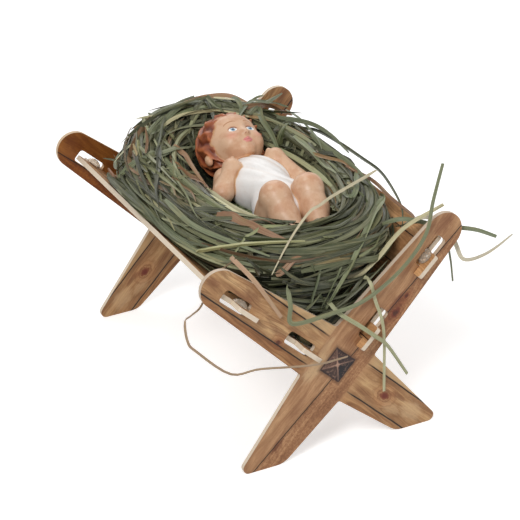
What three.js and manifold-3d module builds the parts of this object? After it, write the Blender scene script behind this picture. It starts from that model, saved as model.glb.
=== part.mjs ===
// Nativity manger with a hay nest and a lying infant figurine.
// Millimetres, +Z up, origin on the floor in the middle; the trough runs along Y, near end at -Y.
import * as THREE from "three";
import { mergeVertices } from "three/addons/utils/BufferGeometryUtils.js";
import Module from "manifold-3d";

const wasm = await Module();
wasm.setup();

// General
const FIT = 0.3; // air between pieces that rest on each other
const CHORD = 1.3; // longest straight step on a rounded outline

// Cross boards, each one flat board cut to the outline of two crossed planks
const BOARD_THICKNESS = 2.5;
const OVERALL_LENGTH = 196.7; // over the outer faces of the two cross boards
const CROSSING_HEIGHT = 49.1;
const ARM_REACH = 63; // sideways from the crossing to the centre of an arm's round end
const ARM_RISE = 60.3; // upwards from the crossing to that centre
const ARM_END_RADIUS = 10.4;
const TOP_NOTCH = 22.1; // from the crossing up to the notch between the arms
const BOTTOM_NOTCH = 21.3; // from the crossing down to the notch between the legs
const SIDE_NOTCH = 21.2; // from the crossing out to the notch between arm and leg
const NOTCH_RADIUS = 1.5;
const TOE_REACH = 59.2; // outer corner of a foot, before rounding
const TOE_RADIUS = 3.3;
const HEEL_REACH = 32.8; // inner corner of a foot, before rounding
const HEEL_RADIUS = 11;

// Slots in the arms, two on each arm
const SLOT_LENGTH = 18.5;
const SLOT_WIDTH = 7.4;
const SLOT_RADIUS = 1.8;
const SLOT_OFFSET = 1.5; // from the arm's centreline out to the slot's
const LOWER_SLOT = 18.5; // along the arm from the crossing to the slot's lower end
const UPPER_SLOT = 65.5;

// Side panels, hooked into the slots by tabs at both ends
const PANEL_THICKNESS = 2.5;
const PANEL_OFFSET = 2.4; // from the arm's centreline out to the panel's middle
const PANEL_FOOT = 9; // along the arm from the crossing to the panel's lower edge
const PANEL_RIM = 84;
const PANEL_CORNER = 1.2;
const TAB_NECK = 9; // the part of a tab that passes through its slot
const TAB_HOOK = 5; // the part that hangs over the board below the slot
const TAB_REACH = 5.5; // beyond the board's outer face
const TAB_CORNER = 1.2;

// Clear domed dots that lock the upper tabs
const DOT_RADIUS = 4.5;
const DOT_HEIGHT = 2.7;
const DOT_DROP = 3.5; // from the tab's upper edge down to the dot's centre
const DOT_INSET = 1.2; // from the board's outer face in to the dot's centre

// Hay nest: a bed that fills the trough and a raised oval ring, with heights above the crossing
const NEST_GAP = 0.4; // between the hay and the panels
const NEST_BASE = 16.9; // underside of the bed
const BASE_INSET = 29.8; // from a board's inner face to the end of the underside
const NEST_RIM = 53.9; // where the hay leaves the panels
const RIM_INSET = 2.3; // from a board's inner face to the hay at the rim
const NEST_CREST = 67.9; // the ring's crest at the near end and the sides
const CREST_INSET = 19.8;
const CREST_HALF_WIDTH = 46;
const NEST_FAR_RISE = 11; // the ring is this much higher behind the head
const HOLLOW_FLOOR = 51.5;
const HOLLOW_HALF_WIDTH = 22;
const HOLLOW_HALF_LENGTH = 47;
const HOLLOW_SHIFT = 7; // the hollow lies this much to the right of the middle
const STRAND_DEPTH = 1.2; // ridges of the wound hay
const STRAND_COUNT = 6;
const STRAND_TURNS = 5;
const NEST_COLUMNS = 72;
const WALL_ROWS = 6;
const CROWN_ROWS = 20;
const CREST_SHARE = 0.42; // share of the crown's rows that climb to the crest
const CREST_EASE = 1.6; // how late the climb leans inwards
const PLAN_SQUARENESS = 0.72; // 1 is an ellipse, less is closer to a rectangle
const SEAT_GAP = 0.5; // between the hay and the infant

// Loose blades. A route's points, from the tucked end to the free tip, are shares: across of the
// arms' reach, along of the trough's half length up to 1 and then of a tab's reach beyond the board,
// and up of the arms' height.
const BLADE_WIDTH = 2.4; // a blade's own breadth is a share of it
const BLADE_THICKNESS = 0.7;
const BLADE_STEPS = 18;
const LOOSE_BLADES = [
  {
    name: "long_bent_blade",
    dry: false,
    breadth: 1,
    faces: [0, -1, 0],
    route: [
      [-0.272, -0.876, 0.81],
      [-0.341, -0.996, 0.826],
      [-0.361, -1.482, 0.768],
      [-0.354, -1.627, 0.684],
      [-0.068, -1.664, 0.684],
      [0.198, -1.664, 0.704],
      [0.484, -1.664, 0.801],
      [0.681, -1.664, 0.935],
      [0.749, -1.573, 1.085],
      [0.831, -1.482, 1.244],
    ],
  },
  {
    name: "right_hanging_blade",
    dry: false,
    breadth: 0.92,
    faces: [0, -1, 0],
    route: [
      [0.163, -0.856, 0.768],
      [0.266, -0.96, 0.768],
      [0.272, -1.018, 0.76],
      [0.293, -1.336, 0.684],
      [0.354, -1.336, 0.526],
      [0.347, -1.336, 0.225],
    ],
  },
  {
    name: "low_hanging_blade",
    dry: false,
    breadth: 1,
    faces: [0, -1, 0],
    route: [
      [-0.109, -0.814, 0.701],
      [-0.027, -0.96, 0.701],
      [0.014, -1.227, 0.664],
      [0.123, -2.027, 0.609],
      [0.245, -2.245, 0.538],
      [0.354, -2.064, 0.467],
      [0.525, -1.627, 0.288],
    ],
  },
  {
    name: "right_side_blade",
    dry: false,
    breadth: 1.08,
    faces: [0, 0, 1],
    route: [
      [0.49, -0.793, 0.918],
      [0.627, -0.897, 0.964],
      [0.872, -0.955, 0.914],
      [1.029, -0.981, 0.889],
      [1.117, -1.3, 0.885],
      [1.204, -2.682, 0.868],
    ],
  },
  {
    name: "right_drooping_blade",
    dry: false,
    breadth: 0.67,
    faces: [1, 0, 0],
    route: [
      [0.627, -0.814, 0.901],
      [0.79, -0.918, 0.931],
      [0.92, -0.949, 0.852],
      [0.955, -0.96, 0.751],
      [0.972, -0.965, 0.634],
    ],
  },
  {
    name: "pale_blade",
    dry: true,
    breadth: 1.08,
    faces: [-0.5, -0.4, 0.8],
    route: [
      [0.027, -0.856, 0.768],
      [0.177, -0.939, 0.76],
      [0.361, -0.96, 0.831],
      [0.586, -0.96, 0.947],
      [0.899, -0.965, 1.014],
    ],
  },
  {
    name: "left_arm_straw",
    dry: true,
    breadth: 0.92,
    faces: [0, -1, 0],
    route: [
      [-0.599, -0.73, 0.918],
      [-0.668, -0.876, 0.972],
      [-0.64, -0.991, 0.947],
      [-0.606, -1.227, 0.914],
      [-0.552, -1.409, 0.856],
      [-0.429, -1.373, 0.722],
    ],
  },
  {
    name: "left_straw_loop",
    dry: true,
    breadth: 0.58,
    faces: [0, -1, 0],
    route: [
      [-0.49, -0.689, 0.902],
      [-0.668, -0.814, 0.922],
      [-0.831, -0.897, 0.922],
      [-0.96, -0.96, 0.835],
      [-1.076, -1.118, 0.835],
      [-1.172, -2.573, 0.851],
      [-1.165, -2.682, 0.76],
      [-1.104, -2.573, 0.701],
      [-0.858, -2.3, 0.547],
      [-0.64, -2.227, 0.53],
      [-0.327, -2.227, 0.488],
      [-0.163, -2.245, 0.474],
      [-0.041, -1.845, 0.462],
      [0.068, -1.336, 0.447],
    ],
  },
  {
    name: "brown_arching_blade",
    dry: true,
    breadth: 1.42,
    faces: [0, -0.6, 0.8],
    route: [
      [-0.586, 0.605, 0.918],
      [-0.531, 0.73, 0.985],
      [-0.341, 0.887, 1.014],
      [-0.109, 0.991, 1.01],
      [0.163, 2.464, 0.985],
      [0.334, 2.3, 0.993],
      [0.49, 1.018, 0.993],
      [0.627, 0.856, 0.943],
    ],
  },
];

// Infant figurine, one casting on its back with its head at the far end
const INFANT_X = 8;
const INFANT_BACK = 44.9; // from the crossing up to the back; the heights below start at the back
const HEAD_RADIUS = 17.3;
const HEAD_Y = 38;
const HEAD_HEIGHT = 23;
const HAIR_THICKNESS = 1.4;
const HAIR_SHIFT = 2.8; // the hair sits this much behind the face
const HAIR_RISE = 1.8; // and this much nearer the crown
const HAIR_ROWS = 12;
const WAVE_DEPTH = 1.6;
const WAVE_COUNT = 9; // waves of hair round the crown
const WAVE_SWEEP = 0.5; // radians that a wave turns on its way from the crown
const FACE_TILT = 24; // degrees that the face looks down towards the feet
const FACE_TURN = 12; // degrees that it looks to the right
const NOSE_RADIUS = 1.9;
const NOSE_LENGTH = 4.8;
const NOSE_DROP = 1.5; // below the middle of the face
const NECK_RADIUS = 8.5;
const CHEST_HALF_WIDTH = 17;
const CHEST_HALF_LENGTH = 22;
const CHEST_HALF_DEPTH = 13.5;
const CHEST_Y = 6;
const HIP_HALF_WIDTH = 17.5;
const HIP_HALF_LENGTH = 18;
const HIP_HALF_DEPTH = 13;
const HIP_Y = -26;
const SHOULDER_REACH = 15;
const SHOULDER_RADIUS = 6.8;
const LEFT_ELBOW_REACH = 24;
const RIGHT_ELBOW_REACH = 19.5;
const ELBOW_RADIUS = 6;
const FIST_REACH = 13.8;
const FIST_RADIUS = 6.2;
const FIST_RISE = 11; // above the middle of the chest
const HIP_JOINT_REACH = 9;
const THIGH_RADIUS = 10;
const KNEE_REACH = 9.5;
const KNEE_RADIUS = 8.6;
const KNEE_Y = -35;
const KNEE_HEIGHT = 25;
const ANKLE_REACH = 7;
const ANKLE_RADIUS = 5.2;
const ANKLE_Y = -58;
const ANKLE_HEIGHT = 9;
const FOOT_HALF_LENGTH = 8;
const LARGE_BALL = 10; // radius from which a ball gets finer facets

const ARM_ANGLE = Math.atan2(ARM_RISE, ARM_REACH);
const HALF_LENGTH = OVERALL_LENGTH / 2;

// Materials
const finish = (color, roughness, extra = {}) =>
  new THREE.MeshStandardMaterial({ color, roughness, metalness: 0, ...extra });
const PINE = finish(0xb98f63, 0.6);
const CLEAR = finish(0xe8e4de, 0.15, { transparent: true, opacity: 0.5 });
const HAY = finish(0x6f7d5c, 0.85);
const STRAW = finish(0xb59a72, 0.8);
const PLASTER = finish(0xd9a67c, 0.55);

// Solids

// The same surface with its shared vertices merged.
function sewn(geometry) {
  const bare = geometry.clone();
  bare.deleteAttribute("normal");
  bare.deleteAttribute("uv");
  return mergeVertices(bare, 1e-4);
}

function toSolid(geometry) {
  const merged = sewn(geometry);
  const triVerts = new Uint32Array(merged.index.array);
  const vertProperties = new Float32Array(merged.attributes.position.array);
  return new wasm.Manifold(new wasm.Mesh({ numProp: 3, vertProperties, triVerts }));
}

function toGeometry(solid) {
  const mesh = solid.getMesh();
  const geometry = new THREE.BufferGeometry();
  geometry.setAttribute("position", new THREE.BufferAttribute(mesh.vertProperties, 3));
  geometry.setIndex(new THREE.BufferAttribute(mesh.triVerts, 1));
  geometry.computeVertexNormals();
  return geometry;
}

const join = (solids) => solids.reduce((whole, piece) => whole.add(piece));

function piece(name, geometry, material) {
  const mesh = new THREE.Mesh(geometry, material);
  mesh.name = name;
  return mesh;
}

// Outlines

// Where the line from a point touches a disc, on the side given by turn.
function touch(point, disc, turn) {
  const away = new THREE.Vector2(disc.x - point.x, disc.y - point.y);
  const distance = away.length();
  const angle = away.angle() + turn * Math.asin(disc.disc / distance);
  const reach = Math.sqrt(distance ** 2 - disc.disc ** 2);
  return { x: point.x + reach * Math.cos(angle), y: point.y + reach * Math.sin(angle) };
}

function arcPoints(centre, radius, from, to) {
  const sweep = to - from;
  const steps = Math.max(3, Math.ceil((Math.abs(sweep) * radius) / CHORD));
  return Array.from({ length: steps + 1 }, (_, i) => {
    const angle = from + (sweep * i) / steps;
    return new THREE.Vector2(centre.x + radius * Math.cos(angle), centre.y + radius * Math.sin(angle));
  });
}

// The rounded corner at a stop between the points before and after it.
function fillet(stop, before, after) {
  if (!stop.radius) return [new THREE.Vector2(stop.x, stop.y)];
  const corner = new THREE.Vector2(stop.x, stop.y);
  const back = new THREE.Vector2(before.x, before.y).sub(corner).normalize();
  const ahead = new THREE.Vector2(after.x, after.y).sub(corner).normalize();
  const half = Math.acos(back.dot(ahead)) / 2;
  const middle = back.clone().add(ahead).normalize();
  const centre = corner.clone().addScaledVector(middle, stop.radius / Math.sin(half));
  const side = Math.sign(ahead.cross(back));
  const start = Math.atan2(back.x * side, -back.y * side);
  const sweep = (Math.PI - 2 * half) * side;
  return arcPoints(centre, stop.radius, start, start + sweep);
}

// A closed outline, anticlockwise, through corners {x, y, radius} and round ends {x, y, disc}.
function outline(stops) {
  const points = stops.flatMap((stop, i) => {
    const before = stops.at(i - 1);
    const after = stops[(i + 1) % stops.length];
    if (!stop.disc) {
      const back = before.disc ? touch(stop, before, 1) : before;
      const ahead = after.disc ? touch(stop, after, -1) : after;
      return fillet(stop, back, ahead);
    }
    const enter = touch(before, stop, -1);
    const leave = touch(after, stop, 1);
    const from = Math.atan2(enter.y - stop.y, enter.x - stop.x);
    let to = Math.atan2(leave.y - stop.y, leave.x - stop.x);
    if (to < from) to += 2 * Math.PI;
    return arcPoints(stop, stop.disc, from, to);
  });
  return new THREE.Shape(points);
}

// Cross boards

function slotOutline(start) {
  const centre = new THREE.Vector2(start + SLOT_LENGTH / 2, -SLOT_OFFSET);
  const [halfLength, halfWidth] = [SLOT_LENGTH / 2, SLOT_WIDTH / 2];
  return outline(
    [
      [-1, -1],
      [1, -1],
      [1, 1],
      [-1, 1],
    ].map(([along, across]) => ({
      x: centre.x + along * halfLength,
      y: centre.y + across * halfWidth,
      radius: SLOT_RADIUS,
    })),
  ).getPoints();
}

// Moves a point from (along the arm, across it) to the board's own plane, on the side given.
function onArm(point, side) {
  const turned = point.clone().rotateAround(new THREE.Vector2(), ARM_ANGLE);
  return new THREE.Vector2(side * turned.x, CROSSING_HEIGHT + turned.y);
}

function crossBoardGeometry() {
  const half = [
    { x: SIDE_NOTCH, y: CROSSING_HEIGHT, radius: NOTCH_RADIUS },
    { x: ARM_REACH, y: CROSSING_HEIGHT + ARM_RISE, disc: ARM_END_RADIUS },
  ];
  const foot = [
    { x: HEEL_REACH, y: 0, radius: HEEL_RADIUS },
    { x: TOE_REACH, y: 0, radius: TOE_RADIUS },
  ];
  const mirror = (stops) => stops.map((stop) => ({ ...stop, x: -stop.x })).reverse();
  const shape = outline([
    { x: 0, y: CROSSING_HEIGHT - BOTTOM_NOTCH, radius: NOTCH_RADIUS },
    ...foot,
    ...half,
    { x: 0, y: CROSSING_HEIGHT + TOP_NOTCH, radius: NOTCH_RADIUS },
    ...mirror(half),
    ...mirror(foot),
  ]);
  for (const side of [1, -1])
    for (const start of [LOWER_SLOT, UPPER_SLOT])
      shape.holes.push(new THREE.Path(slotOutline(start).map((point) => onArm(point, side))));
  const geometry = new THREE.ExtrudeGeometry(shape, { depth: BOARD_THICKNESS, bevelEnabled: false });
  return geometry.rotateX(Math.PI / 2);
}

function crossBoards() {
  const group = new THREE.Group();
  const front = piece("front_cross_board", crossBoardGeometry(), PINE);
  front.position.y = -HALF_LENGTH + BOARD_THICKNESS;
  const rear = piece("rear_cross_board", crossBoardGeometry(), PINE);
  rear.position.y = HALF_LENGTH;
  group.add(front, rear);
  return group;
}

// Side panels and dots, modelled on the right side: x along the arm, y along the trough, z inwards

function panelGeometry() {
  const shoulder = HALF_LENGTH - BOARD_THICKNESS - FIT;
  const hookFace = HALF_LENGTH + FIT;
  const tip = HALF_LENGTH + TAB_REACH;
  const tab = (slot) => {
    const low = slot + FIT;
    return [
      { x: low + TAB_NECK, y: shoulder },
      { x: low + TAB_NECK, y: tip, radius: TAB_CORNER },
      { x: low - TAB_HOOK, y: tip, radius: TAB_CORNER },
      { x: low - TAB_HOOK, y: hookFace },
      { x: low, y: hookFace },
      { x: low, y: shoulder },
    ];
  };
  const farEnd = [
    { x: PANEL_RIM, y: shoulder, radius: PANEL_CORNER },
    ...tab(UPPER_SLOT),
    ...tab(LOWER_SLOT),
    { x: PANEL_FOOT, y: shoulder, radius: PANEL_CORNER },
  ];
  const nearEnd = farEnd.map((stop) => ({ ...stop, y: -stop.y })).reverse();
  const shape = outline([...farEnd, ...nearEnd]);
  return new THREE.ExtrudeGeometry(shape, { depth: PANEL_THICKNESS, bevelEnabled: false });
}

function dotGeometry() {
  const sphere = (DOT_RADIUS ** 2 + DOT_HEIGHT ** 2) / (2 * DOT_HEIGHT);
  const edge = Math.asin(DOT_RADIUS / sphere);
  const profile = [new THREE.Vector2(0, 0)];
  const steps = 5;
  for (let i = 0; i < steps; i++) {
    const angle = edge * (1 - i / steps);
    profile.push(new THREE.Vector2(sphere * Math.sin(angle), DOT_HEIGHT - sphere * (1 - Math.cos(angle))));
  }
  profile.push(new THREE.Vector2(0, DOT_HEIGHT));
  return new THREE.LatheGeometry(profile, 20).rotateX(Math.PI / 2);
}

function troughSide(side) {
  const group = new THREE.Group();
  const innerFace = -PANEL_OFFSET + PANEL_THICKNESS / 2;
  const panel = piece(side + "_side_panel", panelGeometry(), PINE);
  panel.position.z = -PANEL_OFFSET - PANEL_THICKNESS / 2;
  group.add(panel);
  for (const end of [-1, 1]) {
    const world = side === "right" ? end : -end;
    const dot = piece(`${side}_${world < 0 ? "front" : "rear"}_clear_dot`, dotGeometry(), CLEAR);
    const along = UPPER_SLOT + FIT + TAB_NECK - DOT_DROP;
    dot.position.set(along, end * (HALF_LENGTH - DOT_INSET), innerFace + FIT);
    group.add(dot);
  }
  group.rotation.y = -ARM_ANGLE;
  group.position.z = CROSSING_HEIGHT;
  const turned = new THREE.Group();
  turned.rotation.z = side === "right" ? 0 : Math.PI;
  turned.add(group);
  return turned;
}

// Half of the clear width between the panels' inner faces at a height above the crossing.
function troughHalfWidth(height) {
  const innerOffset = PANEL_OFFSET - PANEL_THICKNESS / 2 - NEST_GAP;
  const fromCrossing = height + innerOffset * Math.cos(ARM_ANGLE);
  return fromCrossing / Math.tan(ARM_ANGLE) + innerOffset * Math.sin(ARM_ANGLE);
}

// Hay nest

// Rings of the nest from the underside, over the crest, to the floor of the hollow.
function nestRings() {
  const boardFace = HALF_LENGTH - BOARD_THICKNESS;
  const [baseEnd, rimEnd, crestEnd] = [BASE_INSET, RIM_INSET, CREST_INSET].map((inset) => boardFace - inset);
  const rings = [];
  for (let i = 0; i <= WALL_ROWS; i++) {
    const share = i / WALL_ROWS;
    const bulge = Math.sin((share * Math.PI) / 2);
    const height = NEST_BASE + (NEST_RIM - NEST_BASE) * share;
    rings.push({
      halfWidth: troughHalfWidth(height),
      halfLength: baseEnd + (rimEnd - baseEnd) * bulge,
      height,
      squareness: PLAN_SQUARENESS,
      lift: 0,
      shift: 0,
      relief: i === WALL_ROWS ? 1 : 0,
    });
  }
  const outer = rings.at(-1);
  for (let i = 1; i <= CROWN_ROWS; i++) {
    const share = i / CROWN_ROWS;
    const climb = Math.min(1, share / CREST_SHARE);
    const inward = Math.max(0, (share - CREST_SHARE) / (1 - CREST_SHARE));
    const rise = Math.sin((climb * Math.PI) / 2);
    const fall = (1 - Math.cos(inward * Math.PI)) / 2;
    const width = outer.halfWidth + (CREST_HALF_WIDTH - outer.halfWidth) * climb ** CREST_EASE;
    const length = outer.halfLength + (crestEnd - outer.halfLength) * climb ** CREST_EASE;
    rings.push({
      halfWidth: width + (HOLLOW_HALF_WIDTH - CREST_HALF_WIDTH) * inward,
      halfLength: length + (HOLLOW_HALF_LENGTH - crestEnd) * inward,
      height: NEST_RIM + (NEST_CREST - NEST_RIM) * rise + (HOLLOW_FLOOR - NEST_CREST) * fall,
      squareness: PLAN_SQUARENESS + (1 - PLAN_SQUARENESS) * Math.max(climb / 2, inward),
      lift: rise * (1 - fall),
      shift: HOLLOW_SHIFT * inward,
      relief: 1 - inward ** 4,
    });
  }
  return rings;
}

function nestGeometry() {
  const rings = nestRings();
  const positions = [0, 0, rings[0].height];
  rings.forEach((ring, row) => {
    for (let column = 0; column < NEST_COLUMNS; column++) {
      const angle = (column / NEST_COLUMNS) * 2 * Math.PI;
      const [c, s] = [Math.cos(angle), Math.sin(angle)];
      const round = (v) => Math.sign(v) * Math.abs(v) ** ring.squareness;
      const phase = (row / rings.length) * STRAND_COUNT * 2 * Math.PI + STRAND_TURNS * angle;
      const relief = ring.relief * STRAND_DEPTH * (Math.cos(phase) - 1) * 0.5;
      const far = Math.max(0, s) ** 2 * NEST_FAR_RISE * ring.lift;
      positions.push(
        (ring.halfWidth + relief) * round(c) + ring.shift,
        (ring.halfLength + relief) * round(s),
        ring.height + far + relief,
      );
    }
  });
  const last = rings.at(-1);
  positions.push(last.shift, 0, last.height);
  const top = positions.length / 3 - 1;
  const at = (row, column) => 1 + row * NEST_COLUMNS + (column % NEST_COLUMNS);
  const index = [];
  for (let column = 0; column < NEST_COLUMNS; column++) {
    index.push(0, at(0, column + 1), at(0, column));
    for (let row = 0; row < rings.length - 1; row++) {
      const [a, b] = [at(row, column), at(row, column + 1)];
      const [d, e] = [at(row + 1, column), at(row + 1, column + 1)];
      index.push(a, b, e, a, e, d);
    }
    index.push(at(rings.length - 1, column), at(rings.length - 1, column + 1), top);
  }
  const geometry = new THREE.BufferGeometry();
  geometry.setAttribute("position", new THREE.Float32BufferAttribute(positions, 3));
  geometry.setIndex(index);
  return geometry;
}

// Loose hay blades

function bladePoint([across, along, up]) {
  const beyond = Math.abs(along) - 1;
  const trough = HALF_LENGTH - BOARD_THICKNESS;
  const y = beyond > 0 ? HALF_LENGTH + beyond * TAB_REACH : trough * (1 + beyond);
  const [reach, rise] = [ARM_REACH + ARM_END_RADIUS, ARM_RISE + ARM_END_RADIUS];
  return new THREE.Vector3(across * reach, Math.sign(along) * y, up * (CROSSING_HEIGHT + rise) - CROSSING_HEIGHT);
}

// A ribbon with a ridge on both faces, narrower towards its tip; grow widens it all round.
function bladeGeometry({ breadth, faces, route }, grow = 0) {
  const curve = new THREE.CatmullRomCurve3(route.map(bladePoint), false, "centripetal");
  const width = breadth * BLADE_WIDTH;
  const steps = Math.max(BLADE_STEPS, 3 * route.length);
  const facing = new THREE.Vector3(...faces);
  const positions = [];
  for (let i = 0; i <= steps; i++) {
    const share = i / steps;
    const centre = curve.getPointAt(share);
    const tangent = curve.getTangentAt(share);
    const side = tangent.clone().cross(facing).normalize();
    const ridge = side.clone().cross(tangent);
    const taper = 1 - 0.75 * share ** 4;
    for (const [direction, size] of [
      [side, (width / 2) * taper + grow],
      [ridge, BLADE_THICKNESS / 2 + grow],
      [side, -(width / 2) * taper - grow],
      [ridge, -BLADE_THICKNESS / 2 - grow],
    ])
      positions.push(...centre.clone().addScaledVector(direction, size).toArray());
  }
  const index = [0, 1, 2, 0, 2, 3];
  for (let i = 0; i < steps; i++)
    for (let corner = 0; corner < 4; corner++) {
      const [a, b] = [4 * i + corner, 4 * i + ((corner + 1) % 4)];
      index.push(a, a + 4, b, b, a + 4, b + 4);
    }
  const end = 4 * steps;
  index.push(end, end + 2, end + 1, end, end + 3, end + 2);
  const geometry = new THREE.BufferGeometry();
  geometry.setAttribute("position", new THREE.Float32BufferAttribute(positions, 3));
  geometry.setIndex(index);
  geometry.computeVertexNormals();
  return geometry;
}

// Infant

// Pulls up what faces up, so that the form keeps the way out above it clear.
function raiseTop(geometry, height) {
  const { position, normal } = geometry.attributes;
  for (let i = 0; i < position.count; i++)
    if (normal.getZ(i) > 1e-3) position.setZ(i, position.getZ(i) + height);
  return geometry;
}

// A ball with its own half sizes, with longer facets on a small one.
function ball(centre, radii) {
  const around = Math.max(...radii) > LARGE_BALL ? 18 : 9;
  const geometry = new THREE.SphereGeometry(1, around, Math.round(around * 0.6)).rotateX(Math.PI / 2);
  return geometry.scale(...radii).translate(...centre);
}

// A tapered round limb with ball ends.
function limb(from, to, fromRadius, toRadius) {
  const [start, end] = [new THREE.Vector3(...from), new THREE.Vector3(...to)];
  const axis = end.clone().sub(start);
  const length = axis.length();
  const lean = Math.asin((fromRadius - toRadius) / length);
  const profile = [];
  const steps = 3;
  for (let i = 0; i <= steps; i++) {
    const angle = -Math.PI / 2 + (i / steps) * (Math.PI / 2 + lean);
    profile.push(new THREE.Vector2(i ? fromRadius * Math.cos(angle) : 0, fromRadius * Math.sin(angle)));
  }
  for (let i = 0; i <= steps; i++) {
    const angle = lean + (i / steps) * (Math.PI / 2 - lean);
    const x = i < steps ? toRadius * Math.cos(angle) : 0;
    profile.push(new THREE.Vector2(x, length + toRadius * Math.sin(angle)));
  }
  const turn = new THREE.Quaternion().setFromUnitVectors(new THREE.Vector3(0, 1, 0), axis.normalize());
  return new THREE.LatheGeometry(profile, 11).applyQuaternion(turn).translate(...from);
}

// Turns a point of the head, given from its middle with the face looking up, to its place.
function onHead(x, y, z) {
  const place = new THREE.Vector3(x, y, z);
  place.applyAxisAngle(new THREE.Vector3(0, 1, 0), THREE.MathUtils.degToRad(FACE_TURN));
  place.applyAxisAngle(new THREE.Vector3(1, 0, 0), THREE.MathUtils.degToRad(FACE_TILT));
  return [INFANT_X + place.x, HEAD_Y + place.y, INFANT_BACK + HEAD_HEIGHT + place.z];
}

// Hair as a cap whose waves run from the crown to the brow and the neck.
function hairGeometry(radius) {
  const geometry = sewn(new THREE.SphereGeometry(1, 4 * WAVE_COUNT, HAIR_ROWS));
  const { position } = geometry.attributes;
  for (let i = 0; i < position.count; i++) {
    const [x, y, z] = [position.getX(i), position.getY(i), position.getZ(i)];
    const ring = Math.hypot(x, z);
    const phase = WAVE_COUNT * (Math.atan2(z, x) + WAVE_SWEEP * (1 - y));
    const reach = radius + WAVE_DEPTH * ring * Math.cos(phase) * 0.5;
    const place = onHead(x * reach, y * reach + HAIR_RISE, z * reach - HAIR_SHIFT);
    position.setXYZ(i, ...place);
  }
  return geometry;
}

function headForms(grow) {
  const radius = HEAD_RADIUS + grow;
  const hair = radius + HAIR_THICKNESS;
  const bulk = [1, 1, 1].map(() => hair + WAVE_DEPTH / 2);
  const nose = [NOSE_RADIUS + grow, NOSE_LENGTH / 2 + grow, NOSE_RADIUS + grow];
  return [
    ball(onHead(0, 0, 0), [radius, radius, radius]),
    grow ? ball(onHead(0, HAIR_RISE, -HAIR_SHIFT), bulk) : hairGeometry(hair),
    ball(onHead(0, -NOSE_DROP, HEAD_RADIUS), nose),
  ];
}

// All forms of the casting; grow makes them larger all round.
function infantForms(grow = 0) {
  const x = INFANT_X;
  const chest = [x, CHEST_Y, INFANT_BACK + CHEST_HALF_DEPTH];
  const hips = [x, HIP_Y, INFANT_BACK + HIP_HALF_DEPTH];
  const neckFoot = [x, CHEST_Y + CHEST_HALF_LENGTH / 2, chest[2] + 2];
  const forms = [
    ...headForms(grow),
    limb(onHead(0, 0, -HEAD_RADIUS / 3), neckFoot, NECK_RADIUS + grow, NECK_RADIUS + grow),
    ball(chest, [CHEST_HALF_WIDTH, CHEST_HALF_LENGTH, CHEST_HALF_DEPTH].map((r) => r + grow)),
    ball(hips, [HIP_HALF_WIDTH, HIP_HALF_LENGTH, HIP_HALF_DEPTH].map((r) => r + grow)),
    limb(chest, hips, CHEST_HALF_DEPTH - 0.8 + grow, HIP_HALF_DEPTH - 0.8 + grow),
  ];
  for (const side of [-1, 1]) {
    const shoulder = [x + side * SHOULDER_REACH, CHEST_Y + CHEST_HALF_LENGTH / 2, chest[2] + 2];
    const elbowReach = side < 0 ? LEFT_ELBOW_REACH : RIGHT_ELBOW_REACH;
    const elbow = [x + side * elbowReach, CHEST_Y - CHEST_HALF_LENGTH / 2, chest[2] + 2];
    const fist = [x + side * FIST_REACH, CHEST_Y + CHEST_HALF_LENGTH / 5, chest[2] + FIST_RISE];
    const hip = [x + side * HIP_JOINT_REACH, HIP_Y - HIP_HALF_LENGTH / 4, hips[2]];
    const knee = [x + side * KNEE_REACH, KNEE_Y, INFANT_BACK + KNEE_HEIGHT];
    const ankle = [x + side * ANKLE_REACH, ANKLE_Y, INFANT_BACK + ANKLE_HEIGHT];
    const foot = [ankle[0], ankle[1] - FOOT_HALF_LENGTH / 3, ankle[2] + FOOT_HALF_LENGTH / 4];
    forms.push(
      limb(shoulder, elbow, SHOULDER_RADIUS + grow, ELBOW_RADIUS + grow),
      limb(elbow, fist, ELBOW_RADIUS + grow, FIST_RADIUS + grow),
      limb(hip, knee, THIGH_RADIUS + grow, KNEE_RADIUS + grow),
      limb(knee, ankle, KNEE_RADIUS + grow, ANKLE_RADIUS + grow),
      ball(foot, [ANKLE_RADIUS, FOOT_HALF_LENGTH, ANKLE_RADIUS].map((r) => r + grow)),
    );
  }
  return forms;
}

// The hay with a seat for the infant, open straight up, and a channel for each tucked blade
function nestSolid() {
  const clear = NEST_CREST + NEST_FAR_RISE - INFANT_BACK;
  const seats = infantForms(SEAT_GAP).map((form) => toSolid(raiseTop(form, clear)));
  const channels = LOOSE_BLADES.map((blade) => toSolid(bladeGeometry(blade, FIT)));
  return toSolid(nestGeometry()).subtract(join(seats)).subtract(join(channels));
}

const manger = new THREE.Group();
manger.add(crossBoards(), troughSide("left"), troughSide("right"));

const hay = new THREE.Group();
hay.add(piece("hay_nest", toGeometry(nestSolid()), HAY));
for (const blade of LOOSE_BLADES)
  hay.add(piece(blade.name, bladeGeometry(blade), blade.dry ? STRAW : HAY));

hay.add(piece("infant_figurine", toGeometry(join(infantForms().map(toSolid))), PLASTER));
hay.position.z = CROSSING_HEIGHT;

const group = new THREE.Group();
group.add(manger, hay);

export default group;
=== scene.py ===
# Looks of a nativity manger with a hay nest and a lying infant figurine
import math

import bpy
import numpy as np
from mathutils import Matrix, Vector
from mathutils.bvhtree import BVHTree


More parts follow.
